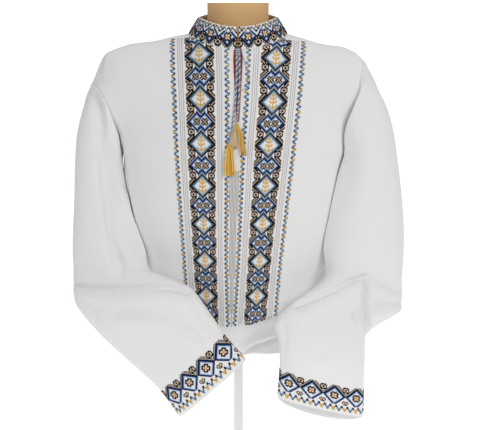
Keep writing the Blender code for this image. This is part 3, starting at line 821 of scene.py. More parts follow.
# A fine grain: its scale and detail, the shares of the colour that it runs between, and how it is raised
Grain = namedtuple("Grain", "scale detail dark light strength depth")
THREAD_GRAIN = Grain(900.0, 3.0, 0.82, 1.12, 0.35, 0.0002)


def grained_material(name, colour, roughness, grain, sheen):
    """A finish whose grain tints it and raises it."""
    made = bpy.data.materials.get(name)
    if made:
        return made
    made, nodes, links, shader = new_material(name, colour, roughness)
    shader.inputs["Sheen Weight"].default_value = sheen
    places = nodes.new("ShaderNodeTexCoord").outputs["Object"]
    texture = noise_node(nodes, links, places, grain.scale, grain.detail)
    tint_by(nodes, links, shader, texture, colour, grain.dark, grain.light)
    bump_by(nodes, links, shader, texture, grain.strength, grain.depth)
    return made


def thread_material(letter):
    """The thread of a chart's letter."""
    name, colour = THREADS[letter]
    made = grained_material(name, colour, 0.62, THREAD_GRAIN, 0.03)
    made.node_tree.nodes["Principled BSDF"].inputs["Specular IOR Level"].default_value = 0.25
    return made


def plain_material(name, colour, roughness, scale, strength, sheen=0.0):
    """The finish of the form's cover, of yarn or of enamel."""
    grain = Grain(scale, 4.0, 0.93, 1.05, strength, 0.0003)
    return grained_material(name, colour, roughness, grain, sheen)


def select_only(piece):
    """Selects a piece and makes it the active one."""
    bpy.ops.object.select_all(action="DESELECT")
    piece.select_set(True)
    bpy.context.view_layer.objects.active = piece


def mesh_piece(name, points, faces, materials, slots=None):
    """An object of these points and faces, at the origin, shaded smooth."""
    mesh = bpy.data.meshes.new(name)
    mesh.from_pydata([tuple(point) for point in points], [], faces)
    for material in materials:
        mesh.materials.append(material)
    if slots is not None:
        mesh.polygons.foreach_set("material_index", slots)
    mesh.shade_smooth()
    mesh.update()
    piece = bpy.data.objects.new(name, mesh)
    bpy.context.scene.collection.objects.link(piece)
    return piece


def grid_faces(rows, columns, closed=False, flip=False, start=0):
    """Quads between the points of a grid that is listed row by row."""
    faces = []
    for row in range(rows - 1):
        for column in range(columns if closed else columns - 1):
            after = (column + 1) % columns
            low = start + row * columns
            high = low + columns
            corners = [low + column, low + after, high + after, high + column]
            if flip:
                corners.reverse()
            faces.append(corners)
    return faces


def add_weave_map(piece, places):
    """Writes the UV map of the weave, in metres, from a place for each vertex."""
    mesh = piece.data
    uv_map = mesh.uv_layers.new(name="weave")
    corners = np.empty(len(mesh.loops), dtype=np.int32)
    mesh.loops.foreach_get("vertex_index", corners)
    uv_map.data.foreach_set("uv", np.asarray(places, dtype=np.float32)[corners].ravel())


def apply_wall(piece, thickness):
    """Turns the outer face into a wall, and applies it as by hand."""
    select_only(piece)
    bpy.ops.object.modifier_add(type="SOLIDIFY")
    wall = piece.modifiers[-1]
    wall.thickness = thickness
    wall.offset = -1.0
    wall.use_even_offset = False
    bpy.ops.object.modifier_apply(modifier=wall.name)


def finish_piece(piece, slot, *nodes):
    """Says what a piece rides on and hides the CAD nodes it stands for. Its slot argument is not used."""
    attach(piece, "root")
    if nodes:
        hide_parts(*nodes)


# Grids that the cloth is made on and the cross-stitch is laid on
GRIDS = {}


def grid_normals(grid, closed):
    """Unit normals of a grid of points, all on one side of it."""
    if closed:
        across = np.roll(grid, -1, axis=1) - np.roll(grid, 1, axis=1)
    else:
        across = np.gradient(grid, axis=1)
    normals = np.cross(across, np.gradient(grid, axis=0))
    size = np.linalg.norm(normals, axis=-1, keepdims=True)
    return normals / np.maximum(size, 1e-9)


def line_distance(places, line):
    """Signed distances of places from a line of points, and how far along it the nearest place lies."""
    best = np.full(places.shape[:-1], np.inf)
    signed = np.zeros(places.shape[:-1])
    run = np.zeros(places.shape[:-1])
    line = np.array(line)
    steps = np.linalg.norm(np.diff(line, axis=0), axis=1)
    total = steps.sum()
    for number, step in enumerate(steps):
        heading = (line[number + 1] - line[number]) / step
        offset = places - line[number]
        share = np.clip(offset @ heading, 0.0, step)
        gap = offset - share[..., None] * heading
        away = np.linalg.norm(gap, axis=-1)
        side = np.where(heading[0] * offset[..., 1] - heading[1] * offset[..., 0] >= 0, 1.0, -1.0)
        nearer = away < best
        best = np.where(nearer, away, best)
        signed = np.where(nearer, away * side, signed)
        run = np.where(nearer, (steps[:number].sum() + share) / total, run)
    return signed, run


def smooth_array(low, high, values):
    """A smooth rise from 0 at low to 1 at high, for an array."""
    share = np.clip((values - low) / (high - low), 0.0, 1.0)
    return share * share * (3.0 - 2.0 * share)


def crease_shift(name, grid, normals):
    """How far a piece's creases move its points. Only what faces the front is creased."""
    facing = smooth_array(0.05, 0.45, -normals[..., 1])
    shift = np.zeros(grid.shape[:2])
    for crease in CREASES:
        if crease.piece != name:
            continue
        away, run = line_distance(grid[..., (0, 2)], crease.line)
        ends = smooth_array(0.0, CREASE_END, np.minimum(run, 1.0 - run))
        sink = crease.depth * np.exp(-((away / crease.half) ** 2))
        beside = (away * crease.side - crease.half - crease.roll_half * 0.8) / crease.roll_half
        shift += (crease.roll * np.exp(-(beside**2)) - sink) * ends * facing
    return shift


def wave_shift(wave, grid, closed):
    """Soft noise over a piece, quiet along a sleeve's inner edge and towards a panel's top."""
    down = lengths_along(grid)
    across = np.swapaxes(lengths_along(np.swapaxes(grid, 0, 1)), 0, 1)
    reach = WAVE_GIRTH / (2 * math.pi * wave.across)
    shift = np.zeros(grid.shape[:2])
    for row, column in np.ndindex(shift.shape):
        run = down[row, column] / wave.along
        if closed:
            angle = 2 * math.pi * column / grid.shape[1]
            at = Vector((math.cos(angle) * reach, math.sin(angle) * reach, run))
            quiet = 1.0 - max(math.cos(angle), 0.0)
        else:
            at = Vector((across[row, column] / wave.across, run, WAVE_LAYER))
            quiet = 1.0 - smooth_step(0.62, 0.98, grid[row, column, 2])
        shift[row, column] = wave.swing * noise.noise(at) * quiet
    return shift


def worked(name, grid, edge, closed=False):
    """The grid with the creases and waves of its cloth. edge is 0 where it is sewn and 1 inside."""
    normals = grid_normals(grid, closed)
    middle = grid.mean(axis=(0, 1)) if not closed else grid.mean(axis=1, keepdims=True)
    if ((grid - middle) * normals).sum(axis=-1).mean() < 0:
        normals = -normals
    shift = crease_shift(name, grid, normals) + wave_shift(WAVES[name], grid, closed)
    return grid + normals * (shift * edge)[..., None]


def panel_columns(sizes, sign):
    """Places across one half of a panel, from the centre out."""
    steps = sizes.panel_columns
    in_neck = round(steps * NECKLINE_SHARE)
    half = [NECKLINE_SHARE * step / in_neck for step in range(in_neck)]
    in_shoulder = steps - in_neck
    half += [blend(NECKLINE_SHARE, 1.0, step / in_shoulder) for step in range(in_shoulder + 1)]
    return [sign * share for share in half]


def panel_climbs(sizes):
    """The panel's rows, from the hem at -1 past the armpit at 0 to the top at 1."""
    below = sizes.rows_below
    above = sizes.rows_above
    return [step / below - 1.0 for step in range(below)] + [step / above for step in range(above + 1)]


def ease_armpit_level(grid, armpit_row):
    """Smooths a panel's depth across the armpit's level, clear of the tassels and of the side seams."""
    share = np.abs(np.linspace(-1.0, 1.0, grid.shape[1]))
    weight = smooth_array(0.08, 0.16, share) * (1.0 - smooth_array(0.86, 0.96, share))
    rows = np.arange(armpit_row - EASE_ROWS, armpit_row + EASE_ROWS + 1)
    near = 1.0 - smooth_array(0.5, 1.0, np.abs(rows - armpit_row) / EASE_ROWS)
    fade = near[:, None] * weight[None, :]
    for _ in range(EASE_PASSES):
        eased = (grid[rows - 1, :, 1] + 2 * grid[rows, :, 1] + grid[rows + 1, :, 1]) / 4
        grid[rows, :, 1] += (eased - grid[rows, :, 1]) * fade


def open_slit(half, side, climbs):
    """Draws the cloth beside the centre line aside, so that its edge bounds the neck slit."""
    for row, climb in enumerate(climbs):
        if climb * 90.0 > SLIT_FOOT_TURN + 0.1:
            width = slit_half_width(climb)
            x = np.abs(half[row, :, 0])
            near = x < SLIT_REACH
            half[row, near, 0] = side * (width + x[near] * (1.0 - width / SLIT_REACH))


def make_panel(panel, sizes):
    """The front or the back: two halves that meet in the middle, open at the neck slit."""
    climbs = panel_climbs(sizes)
    shares = panel_columns(sizes, -1)[:0:-1] + panel_columns(sizes, 1)
    grid = np.array([[tuple(body_point(panel, share, climb)) for share in shares] for climb in climbs])
    edge = 1.0 - smooth_array(0.90, 0.985, np.abs(np.array(shares)))[None, :] * np.ones((len(climbs), 1))
    grid = worked(panel, grid, edge)
    ease_armpit_level(grid, sizes.rows_below)
    GRIDS[panel] = grid
    centre = len(shares) // 2
    points = []
    faces = []
    places = []
    for sign in (-1, 1):
        half = (grid[:, centre::-1] if sign < 0 else grid[:, centre:]).copy()
        flat = half.reshape(-1, 3)
        places += [(x * 1.05 + y * 0.4 * sign, z + abs(y) * 0.3) for x, y, z in flat]
        if panel == "front":
            open_slit(half, sign, climbs)
        flip = (sign < 0) == (panel == "front")
        faces += grid_faces(len(climbs), half.shape[1], flip=flip, start=len(points))
        points += list(half.reshape(-1, 3))
    piece = mesh_piece(f"{panel}_cloth", points, faces, [linen_material(sizes)])
    add_weave_map(piece, places)
    select_only(piece)
    bpy.ops.object.mode_set(mode="EDIT")
    bpy.ops.mesh.select_all(action="SELECT")
    bpy.ops.mesh.remove_doubles(threshold=0.0002)
    bpy.ops.object.mode_set(mode="OBJECT")
    apply_wall(piece, sizes.cloth_wall)
    finish_piece(piece, "linen", panel)


def rest_on_body(grid, around, sizes):
    """Moves the inner side of a sleeve up to the body's side, where it hangs close beside it."""
    body = GRIDS["front"]
    rows, columns = body.shape[:2]
    tree = BVHTree.FromPolygons([Vector(point) for point in body.reshape(-1, 3)], grid_faces(rows, columns))
    for number, point in enumerate(grid):
        ring = number // around / sizes.sleeve_rings
        facing = math.cos(2 * math.pi * (number % around) / around)
        if facing <= 0.0 or not 0.0 < ring < 6.0:
            continue
        nearest, _, _, away = tree.find_nearest(point)
        gap = away - sizes.cloth_wall
        if gap <= 0.0 or gap > REST_REACH:
            continue
        pull = facing * smooth_step(0.0, 0.4, ring) * (1.0 - smooth_step(4.5, 6.0, ring))
        pull *= 1.0 - smooth_step(0.5, 1.0, gap / REST_REACH)
        grid[number] = point + (nearest - point).normalized() * gap * REST_SHARE * pull


def pucker_seam(points):
    """Raises small gathers along the sleeve's seam with the body."""
    level = lengths_along(points)
    middle = points.mean(axis=1, keepdims=True)
    out = points - middle
    out /= np.linalg.norm(out, axis=-1, keepdims=True)
    angle = 2 * np.pi * np.arange(points.shape[1]) / points.shape[1]
    gathers = 1.0 + 0.8 * np.sin(SEAM_PUCKERS * angle + 1.7 * np.sin(3 * angle))
    upper = smooth_array(-0.3, 0.5, -np.cos(angle))
    rise = SEAM_ROLL * np.exp(-(((level - SEAM_REACH) / SEAM_HALF) ** 2)) * (gathers * upper)[None, :]
    rise[0] = 0.0
    points += out * rise[..., None]


def make_sleeve(name, sections, sizes):
    """A sleeve from its armhole to the cuff's edge, as rings between its sections."""
    around = sizes.sleeve_around
    rings = (len(sections) - 1) * sizes.sleeve_rings
    side = -1.0 if sections[0].inner[0] < 0 else 1.0
    grid = []
    places = []
    length = 0.0
    for ring in range(rings + 1):
        section = sleeve_frame(sections, ring / sizes.sleeve_rings)
        for step in range(around):
            angle = 2 * math.pi * step / around
            if ring == 0:
                climb = angle / math.pi if angle <= math.pi else 2.0 - angle / math.pi
                point = body_point("front" if angle <= math.pi else "back", side, climb)
            else:
                point = sleeve_point(section, angle)
            grid.append(point)
            places.append((angle * WEAVE_RADIUS, length))
        length += WEAVE_LENGTH / rings
    faces = grid_faces(rings + 1, around, closed=True, flip=side > 0)
    rest_on_body(grid, around, sizes)
    points = np.array([tuple(point) for point in grid]).reshape(rings + 1, around, 3)
    rows = np.arange(rings + 1) / sizes.sleeve_rings
    edge = smooth_array(0.0, 0.35, rows) * (1.0 - 0.85 * smooth_array(9.2, 10.2, rows))
    points = worked(name, points, edge[:, None] * np.ones((1, around)), closed=True)
    behind = np.maximum(-np.sin(2 * np.pi * np.arange(around) / around), 0.0)
    points[..., 2] -= CUFF_DROP[name] * (smooth_array(9.4, 11.0, rows)[:, None] * behind)
    pucker_seam(points)
    GRIDS[name] = points
    piece = mesh_piece(f"{name}_cloth", points.reshape(-1, 3), faces, [linen_material(sizes)])
    add_weave_map(piece, places)
    apply_wall(piece, sizes.cloth_wall)
    finish_piece(piece, "linen", name)


def make_collar(sizes):
    """The stand collar, open at the centre front."""
    grid = []
    places = []
    for level in range(COLLAR_LEVELS + 1):
        share = level / COLLAR_LEVELS
        gap = blend(COLLAR_GAP_FOOT, COLLAR_GAP_TOP, share) / NECKLINE_HALF_WIDTH
        for step in range(COLLAR_POINTS + 1):
            angle = blend(gap, 2 * math.pi - gap, step / COLLAR_POINTS)
            grid.append(collar_point(share, angle))
            places.append((angle * 0.09, share * COLLAR_HEIGHT))
    faces = grid_faces(COLLAR_LEVELS + 1, COLLAR_POINTS + 1)
    points = np.array(grid).reshape(COLLAR_LEVELS + 1, COLLAR_POINTS + 1, 3)
    GRIDS["collar"] = points
    piece = mesh_piece("collar_cloth", grid, faces, [linen_material(sizes)])
    add_weave_map(piece, places)
    apply_wall(piece, sizes.collar_wall)
    finish_piece(piece, "linen", "collar")


def motif(chart, column, row):
    """The letter of a small charted motif at a place counted from its centre, or None."""
    height = len(chart)
    width = len(chart[0])
    line = height // 2 - row
    place = column + width // 2
    if 0 <= line < height and 0 <= place < width and chart[line][place] != ".":
        return chart[line][place]
    return None


def scroll_letter(out, down):
    """The scroll beside a diamond: a ring with a dark heart, strokes above it and a tail that runs out below.

    out and down are counted from the ring's heart, out away from the diamond.
    """
    found = motif(SCROLL_RING, out, -down)
    if found:
        return found
    if down >= 1 and -3 <= out <= 4:
        return {-3: "K", -4: "K", -5: "P", -6: "K", -7: "K"}.get(out - down)
    if down <= -4 and 0 <= out <= 4:
        return {-6: "K", -5: "K", -4: "K", -3: "P", -2: "K", -1: "K"}.get(out + down)
    return None


def diamond_letter(ring):
    """The thread of a large diamond's border, by its distance from the middle."""
    return {13: "K", 12: "K", 11: "S", 10: "S", 9: "L"}.get(ring)


def lozenge_letter(side, height):
    """The pair of small diamonds with a flower in each, between two large diamonds."""
    ring = abs(side - 4) + height
    if ring > 9:
        return None
    if ring >= 6:
        return {9: "K" if side > 10 else "N", 8: "N", 7: "B", 6: "L"}[ring]
    return None


def band_letter(column, row):
    """The thread at a place of the front bands. column 0 is the band's middle, and 42 rows make a repeat."""
    half = BAND_REPEAT // 2
    row = (row + half) % BAND_REPEAT - half
    side = abs(column)
    level = abs(row)
    large = side + level
    if large <= 13:
        return motif(WHEAT_SPRIG, column, row) or diamond_letter(large)
    height = half - level
    if abs(side - 4) + height <= 9:
        signed = height if row > 0 else -height
        return lozenge_letter(side, height) or motif(FLOWER, side - 4, signed)
    if side <= 4 and large <= 15:
        return "S" if large == 15 else None
    down = 11 - row if row > 0 else -row - 9
    return scroll_letter(side - 10, down)


BAND_REPEAT = 42
BAND_HALF = 14
BAND_FOOT_ROW = -203
BAND_TOP_ROW = 110
LATTICE_TOP_ROW = -26
ZIGZAG_OUT = 26.5

# The embroidery's foot: its height at the middle, and its slope along the fold that hides the rest
LEFT_FOOT_UP = 0.487
LEFT_FOOT_SLOPE = 0.33
LADDER_OUT = 19.0

# The lattice of holes between the bands, drawn as grey marks of painted shade, and the rust-coloured stitches
# of painted shade down both sides of the neck slit
LATTICE_PITCH = 0.0028
LATTICE_HOLE = 0.0011
SLIT_SHADE_STITCHES = 62
SLIT_SHADE_COLUMN = 0.0015
SLIT_SHADE_WIDTH = 0.0016
SLIT_SHADE_HEIGHT = 0.0022

# How far the cross-stitch lies off the cloth, how far its bars reach towards the corners, the share of a bar
# that its ridge runs along, and half the size of the flat square beneath
STITCH_LIFT = 0.00015
BAR_REACH = 0.46
RIDGE_SHARE = 0.72
SQUARE_HALF = 0.51

# Where across the front its cross-stitch is parted into a right and a left piece
BANDS_MEET = -0.012

# Where the large diamonds of the bands lie, by the number of repeats above the armpit's one
BandStop = namedtuple("BandStop", "repeat x up stitch")
RIGHT_BAND = (
    BandStop(-5.0, -0.0655, 0.4810, 0.00166),
    BandStop(-4.0, -0.0672, 0.5656, 0.00167),
    BandStop(-3.0, -0.0690, 0.6480, 0.00169),
    BandStop(-2.0, -0.0703, 0.7300, 0.00177),
    BandStop(-1.0, -0.0709, 0.8115, 0.00184),
    BandStop(0.0, -0.0717, 0.8970, 0.00192),
    BandStop(1.0, -0.0725, 0.9836, 0.00198),
    BandStop(2.0, -0.0754, 1.0706, 0.00206),
    BandStop(3.0, -0.0783, 1.1576, 0.00214),
)
LEFT_BAND = (
    BandStop(-5.0, 0.0350, 0.4830, 0.00166),
    BandStop(-4.0, 0.0397, 0.5659, 0.00167),
    BandStop(-3.0, 0.0446, 0.6475, 0.00169),
    BandStop(-2.0, 0.0498, 0.7310, 0.00176),
    BandStop(-1.0, 0.0551, 0.8120, 0.00183),
    BandStop(0.0, 0.0605, 0.8945, 0.00191),
    BandStop(1.0, 0.0680, 0.9780, 0.00197),
    BandStop(2.0, 0.0740, 1.0631, 0.00205),
    BandStop(3.0, 0.0800, 1.1480, 0.00213),
)
COLLAR_REPEAT = 21
COLLAR_ROWS = 22
COLLAR_REPEATS = 15
CUFF_REPEAT = 24
CUFF_ROWS = 34
CUFF_ZIGZAG = 5.6
CUFF_STITCH = 0.00206


def zigzag_row(row, tooth):
    """One row of a zigzag: places across and threads. Alternate tips are gold, the others pale blue."""
    low, high = sorted(zigzag_reach(row + step, tooth) for step in (-0.5, 0.5))
    middle = zigzag_reach(row, tooth)
    gold = int(row / tooth + 0.5) % 2 == 0
    if middle > 0.7:
        line = "G" if gold else "S"
    elif middle < -1.6:
        line = "N"
    else:
        line = "S"
    found = [(across, line) for across in range(round(low), round(high) + 1)]
    if middle > 0.0:
        inside = "G" if gold else "L"
        found.append((round(low) - 1, inside))
    return found


def zigzag_reach(row, tooth):
    """How far out a zigzag's line lies at a row."""
    return 4.6 * (1.0 - abs(((row / tooth + 0.5) % 1.0) * 2 - 1)) - 2.3


def collar_cell(column, row):
    """The collar's thread: column 0 is a diamond's middle, and row 0 is the collar's foot."""
    side = abs(column)
    ring = side + abs(row - 11)
    if row > 16:
        return None
    if ring <= 10:
        edge = "BNKK" if row < 11 else "LBNN"
        return edge[ring - 7] if ring >= 7 else motif(LARGE_FLOWER, column, row - 11)
    if row > 11:
        return motif(CURL, 10 - side, row - 16)
    return scroll_letter(10 - side, 5 - row) or ("K" if ring == 12 and row > 0 else None)


def edge_zigzag(place, row, tooth):
    """A zigzag along an edge that lies above it. Alternate teeth are dark, with gold above them."""
    wave = abs(((place / tooth) % 1.0) * 2 - 1)
    dark = int(place / tooth) % 2 == 0
    crest = 3.2 * wave
    if abs(row - crest) <= 0.8:
        return "N" if dark else "S"
    if dark and crest + 0.4 < row <= 3.4:
        return "G"
    return None


def cuff_zigzag(place, down, tooth):
    """The cuff's zigzag: down is counted from its upper points. Its alternate lower points are gold."""
    nearest = round(place / tooth)
    away = abs(place / tooth - nearest) * 2
    crest = CUFF_ZIGZAG * (1.0 - away)
    gold = nearest % 2 == 0
    if abs(down - crest) <= 1.35:
        if gold and away < 0.55:
            return "G"
        return "N" if gold or away > 0.75 else "S"
    if gold and away < 0.5 and crest - 2.6 < down < crest:
        return "G"
    if not gold and away < 0.4 and crest - 1.8 < down < crest:
        return "L"
    return None


def cuff_cell(column, row):
    """The cuff's thread: column 0 is a diamond's middle, and row 0 is the cuff's edge."""
    side = abs(column)
    ring = side + abs(row - 21)
    high = row >= 21
    if ring <= 12 and row >= 11:
        edge = dict(enumerate("LBNKK", 8)) if high else dict(enumerate("LBNN", 9))
        return edge.get(ring) or motif(LARGE_FLOWER, column, row - 21)
    if high:
        found = motif(SCROLL_RING, 12 - side, row - 29)
        if found:
            return found
        if row <= 34:
            return {14: "K", 15: "P", 16: "K"}.get(ring) if column > 0 or ring == 14 else None
        return None
    if row >= 11:
        return motif(CUFF_CURL, 12 - side, row - 13)
    return None


def stitch_mesh(name, ground, cells, sizes):
    """Cross-stitches as two crossed bars of thread each, lying on the cloth.

    cells are arrays: place across, place up, width, height and the thread's number.
    """
    across, up, width, height, thread = cells
    centre = ground.at(across, up)
    right = ground.at(across + width / 2, up) - ground.at(across - width / 2, up)
    top = ground.at(across, up + height / 2) - ground.at(across, up - height / 2)
    good = ~np.isnan(centre + right + top).any(axis=1)
    centre, right, top = centre[good], right[good], top[good]
    thread = thread[good]
    normal = np.cross(right, top)
    normal /= np.linalg.norm(normal, axis=1)[:, None]
    parts = []
    bars = ((1.0, 1.0, 0.0), (1.0, -1.0, 1.0))
    half_thread = sizes.thread_width / 2
    for slope_right, slope_up, level in bars:
        run = right * slope_right + top * slope_up
        unit = run / np.linalg.norm(run, axis=1)[:, None]
        side = np.cross(normal, unit) * half_thread
        base = centre + normal * STITCH_LIFT
        ridge = normal * (sizes.thread_height * (1.0 + 0.5 * level))
        end = run * BAR_REACH
        parts.append(
            np.stack(
                [
                    base - end - side,
                    base - end + side,
                    base + end + side,
                    base + end - side,
                    base - end * RIDGE_SHARE + ridge,
                    base + end * RIDGE_SHARE + ridge,
                ],
                axis=1,
            )
        )
    flat = centre + normal * STITCH_LIFT * 0.5
    corners = []
    for to_right, to_top in ((-1, -1), (1, -1), (1, 1), (-1, 1)):
        corners.append(flat + right * to_right * SQUARE_HALF + top * to_top * SQUARE_HALF)
    parts.append(np.stack(corners, axis=1))
    points = np.concatenate(parts, axis=1).reshape(-1, 3)
    pattern = [(12, 13, 14, 15)]
    for start in (0, 6):
        pattern += [
            (start + 0, start + 3, start + 5, start + 4),
            (start + 2, start + 1, start + 4, start + 5),
        ]
    ends = []
    for start in (0, 6):
        ends += [(start + 1, start + 0, start + 4), (start + 3, start + 2, start + 5)]
    faces = []
    slots = []
    for number in range(len(centre)):
        shift = number * 16
        for corners in pattern:
            faces.append([corner + shift for corner in corners])
        for corners in ends:
            faces.append([corner + shift for corner in corners])
        slots += [int(thread[number])] * 9
    materials = [thread_material(letter) for letter in THREAD_LETTERS]
    piece = mesh_piece(name, points, faces, materials, slots)
    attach(piece, "root")


def cells_array(rows):
    """Separate arrays of the columns of a list of stitches."""
    return tuple(np.array(column, dtype=float) for column in zip(*rows))


def band_place(side, row):
    """Where a row of a band lies: its middle, its height along the cloth and the width of a stitch there."""
    table = RIGHT_BAND if side < 0 else LEFT_BAND
    repeats = [stop.repeat for stop in table]
    at = row / BAND_REPEAT
    x = float(np.interp(at, repeats, [stop.x for stop in table]))
    up = float(np.interp(at, repeats, [stop.up for stop in table]))
    width = float(np.interp(at, repeats, [stop.stitch for stop in table]))
    return x, up, width


def front_cells():
    """Every cross-stitch of the front: two bands, four zigzags and the drawn-thread ladders between them,
    with their holes as grey marks of painted shade.
    """
    rows = range(BAND_FOOT_ROW, BAND_TOP_ROW)
    cells = []

    def add(side, out, row, letter, size=1.0):
        x, up, width = band_place(side, row)
        pitch = band_place(side, row + 1)[1] - up
        across = x + side * out * width
        if up > LEFT_FOOT_UP + max(across, -0.02) * LEFT_FOOT_SLOPE:
            cells.append((across, up, width * size, pitch * size, THREAD_LETTERS.index(letter)))

    for side in (-1, 1):
        for row in rows:
            for column in range(-BAND_HALF, BAND_HALF + 1):
                letter = band_letter(column, row)
                if letter:
                    add(side, column, row, letter)
        for place, turn in ((ZIGZAG_OUT, 1), (-ZIGZAG_OUT, -1)):
            for row in rows:
                for across, letter in zigzag_row(row, BAND_REPEAT / 8):
                    add(side, place + turn * across, row, letter)
        # The ladders' holes, as grey marks of painted shade
        for place in (LADDER_OUT, -LADDER_OUT):
            for row in rows:
                if row % 2:
                    add(side, place - 2.0, row, "H", 0.85)
                    add(side, place + 2.0, row, "H", 0.85)
                else:
                    add(side, place, row, "H", 0.7)
    # Rust-coloured stitches of painted shade along the neck slit
    cells += slit_shade_cells()
    # The lattice's holes, as grey marks of painted shade
    for row in range(BAND_FOOT_ROW * 2, LATTICE_TOP_ROW * 2):
        right = band_place(-1, row / 2)
        left = band_place(1, row / 2)
        middle = (right[0] + left[0]) / 2
        reach = (left[0] - right[0]) / 2 - (ZIGZAG_OUT + 3) * left[2]
        count = int(reach / LATTICE_PITCH)
        for step in range(-count, count + 1):
            if (step + row) % 2 == 0:
                x = middle + step * LATTICE_PITCH
                cells.append((x, right[1], LATTICE_HOLE, LATTICE_HOLE, THREAD_LETTERS.index("H")))
    return cells


def slit_shade_cells():
    """Rust-coloured stitches down both sides of the neck slit: painted shade of the form seen in the slit's
    opening.
    """
    cells = []
    top = top_point("front", 0.0).z
    for step in range(SLIT_SHADE_STITCHES):
        climb = blend(SLIT_FOOT_TURN / 90.0, 0.97, step / (SLIT_SHADE_STITCHES - 1))
        height = ARMPIT + (top - ARMPIT) * math.sin(climb * math.pi / 2)
        up = slit_up(height)
        for side in (-1, 1):
            for column in (0.4, 1.4):
                across = side * (slit_half_width(climb) + column * SLIT_SHADE_COLUMN)
                cells.append((across, up, SLIT_SHADE_WIDTH, SLIT_SHADE_HEIGHT, THREAD_LETTERS.index("O")))
    return cells


def slit_up(height):
    """The length along the cloth, from the armpit's level, of a height on the front's middle line."""
    grid = GRIDS["front"]
    line = grid[:, grid.shape[1] // 2]
    level = lengths_along(line[:, None])[:, 0]
    level += ARMPIT - float(np.interp(ARMPIT, line[:, 2], level))
    return float(np.interp(height, line[:, 2], level))


def make_front_embroidery(sizes):
    """The front's cross-stitch, in a right and a left piece."""
    ground = front_ground(GRIDS["front"])
    cells = front_cells()
    right = [cell for cell in cells if cell[0] < BANDS_MEET]
    left = [cell for cell in cells if cell[0] >= BANDS_MEET]
    stitch_mesh("front_embroidery_right", ground, cells_array(right), sizes)
    stitch_mesh("front_embroidery_left", ground, cells_array(left), sizes)


def make_collar_embroidery(sizes):
    """The collar's cross-stitch, all the way round."""
    ground = collar_ground(GRIDS["collar"])
    total = ground.across[-1]
    repeats = COLLAR_REPEATS
    width = total / (repeats * COLLAR_REPEAT)
    height = ground.up[-1] / COLLAR_ROWS
    cells = []
    for place in range(repeats * COLLAR_REPEAT):
        column = place % COLLAR_REPEAT - COLLAR_REPEAT // 2
        across = (place + 0.5) * width
        for row in range(COLLAR_ROWS):
            letter = collar_cell(column, row)
            if row >= 17:
                letter = edge_zigzag(place, row - 17, COLLAR_REPEAT / 4)
            if letter:
                cells.append((across, (row + 0.5) * height, width, height, THREAD_LETTERS.index(letter)))
    stitch_mesh("collar_embroidery", ground, cells_array(cells), sizes)


def make_cuff_embroidery(name, repeats, stitch, sizes):
    """A cuff's cross-stitch, counted both ways from the middle of the cuff's front."""
    grid = GRIDS[name]
    if name == "sleeve_right":
        grid = grid[:, ::-1]
    ground = cuff_ground(grid[-3 * sizes.sleeve_rings :])
    total = ground.across[-1]
    width = min(total / (repeats * CUFF_REPEAT), stitch)
    pitch = sizes.stitch_pitch
    front_at_share = 0.75 if name == "sleeve_right" else 0.25
    middle = float(np.interp(front_at_share, np.linspace(0, 1, len(ground.across)), ground.across))
    cells = []
    reach = repeats * CUFF_REPEAT // 2
    for place in range(-reach, reach):
        column = place % CUFF_REPEAT - CUFF_REPEAT // 2
        across = (middle + (place + 0.5) * width) % total
        if across < width or across > total - width:
            across = min(max(across, width * 0.51), total - width * 0.51)
        for row in range(CUFF_ROWS):
            letter = cuff_cell(column, row)
            if row <= 10:
                letter = cuff_zigzag(place + 0.5, 9 - row, CUFF_REPEAT / 4)
            if letter:
                cells.append((across, (row + 1.0) * pitch, width, pitch, THREAD_LETTERS.index(letter)))
    stitch_mesh(f"{name}_embroidery", ground, cells_array(cells), sizes)


def cord_route(points):
    """The cord's centre line: the smooth curve through its route, just off the cloth, read at even steps."""
    spots = [Vector((point.x, 0.0, point.z)) for point in points]
    length = sum((high - low).length for low, high in zip(spots, spots[1:]))
    count = round(length / CORD_STEP)
    route = []
    for step in range(count + 1):
        spot = along(spots, (len(spots) - 1) * step / count)
        lift = yarn_radius(step / count) + CORD_LIFT
        hang = smooth_step(1.052, 1.077, spot.z)
        face = front_face(spot.x - 0.004 * (1 if spot.x < 0 else -1), min(spot.z, 1.070), lift)
        collar_front = -(NECKLINE_FRONT * COLLAR_OVERLAP + YARN_RADIUS_TOP + COLLAR_CLEARANCE)
        route.append(Vector((spot.x, min(face.y, blend(face.y, collar_front, hang)), spot.z)))
    return route


def tube(points, radius, sides):
    """Points and faces of a closed tube along a line of points. radius may be a function of the share."""
    made = []
    count = len(points)
    for number, point in enumerate(points):
        before = points[max(number - 1, 0)]
        after = points[min(number + 1, count - 1)]
        heading = (after - before).normalized()
        side = heading.cross(Vector((0.0, 1.0, 0.0)))
        side = side.normalized() if side.length > 0.01 else Vector((1.0, 0.0, 0.0))
        up = side.cross(heading).normalized()
        size = radius(number / (count - 1)) if callable(radius) else radius
        for step in range(sides):
            angle = 2 * math.pi * step / sides
            made.append(point + side * math.cos(angle) * size + up * math.sin(angle) * size)
    faces = grid_faces(count, sides, closed=True, flip=True)
    faces.append(list(range(sides)))
    faces.append([count * sides - 1 - step for step in range(sides)])
    return made, faces


def join_tube(mesh, part, slots):
    """Adds a tube to the points, faces and material slots of a mesh."""
    points, faces, all_slots = mesh
    shift = len(points)
    points += part[0]
    faces += [[corner + shift for corner in face] for face in part[1]]
    all_slots += slots


def yarn_radius(share):
    """The cord's radius: thick and loose at the collar, drawn tight at the tassel."""
    return blend(YARN_RADIUS_TOP, YARN_RADIUS_FOOT, share)


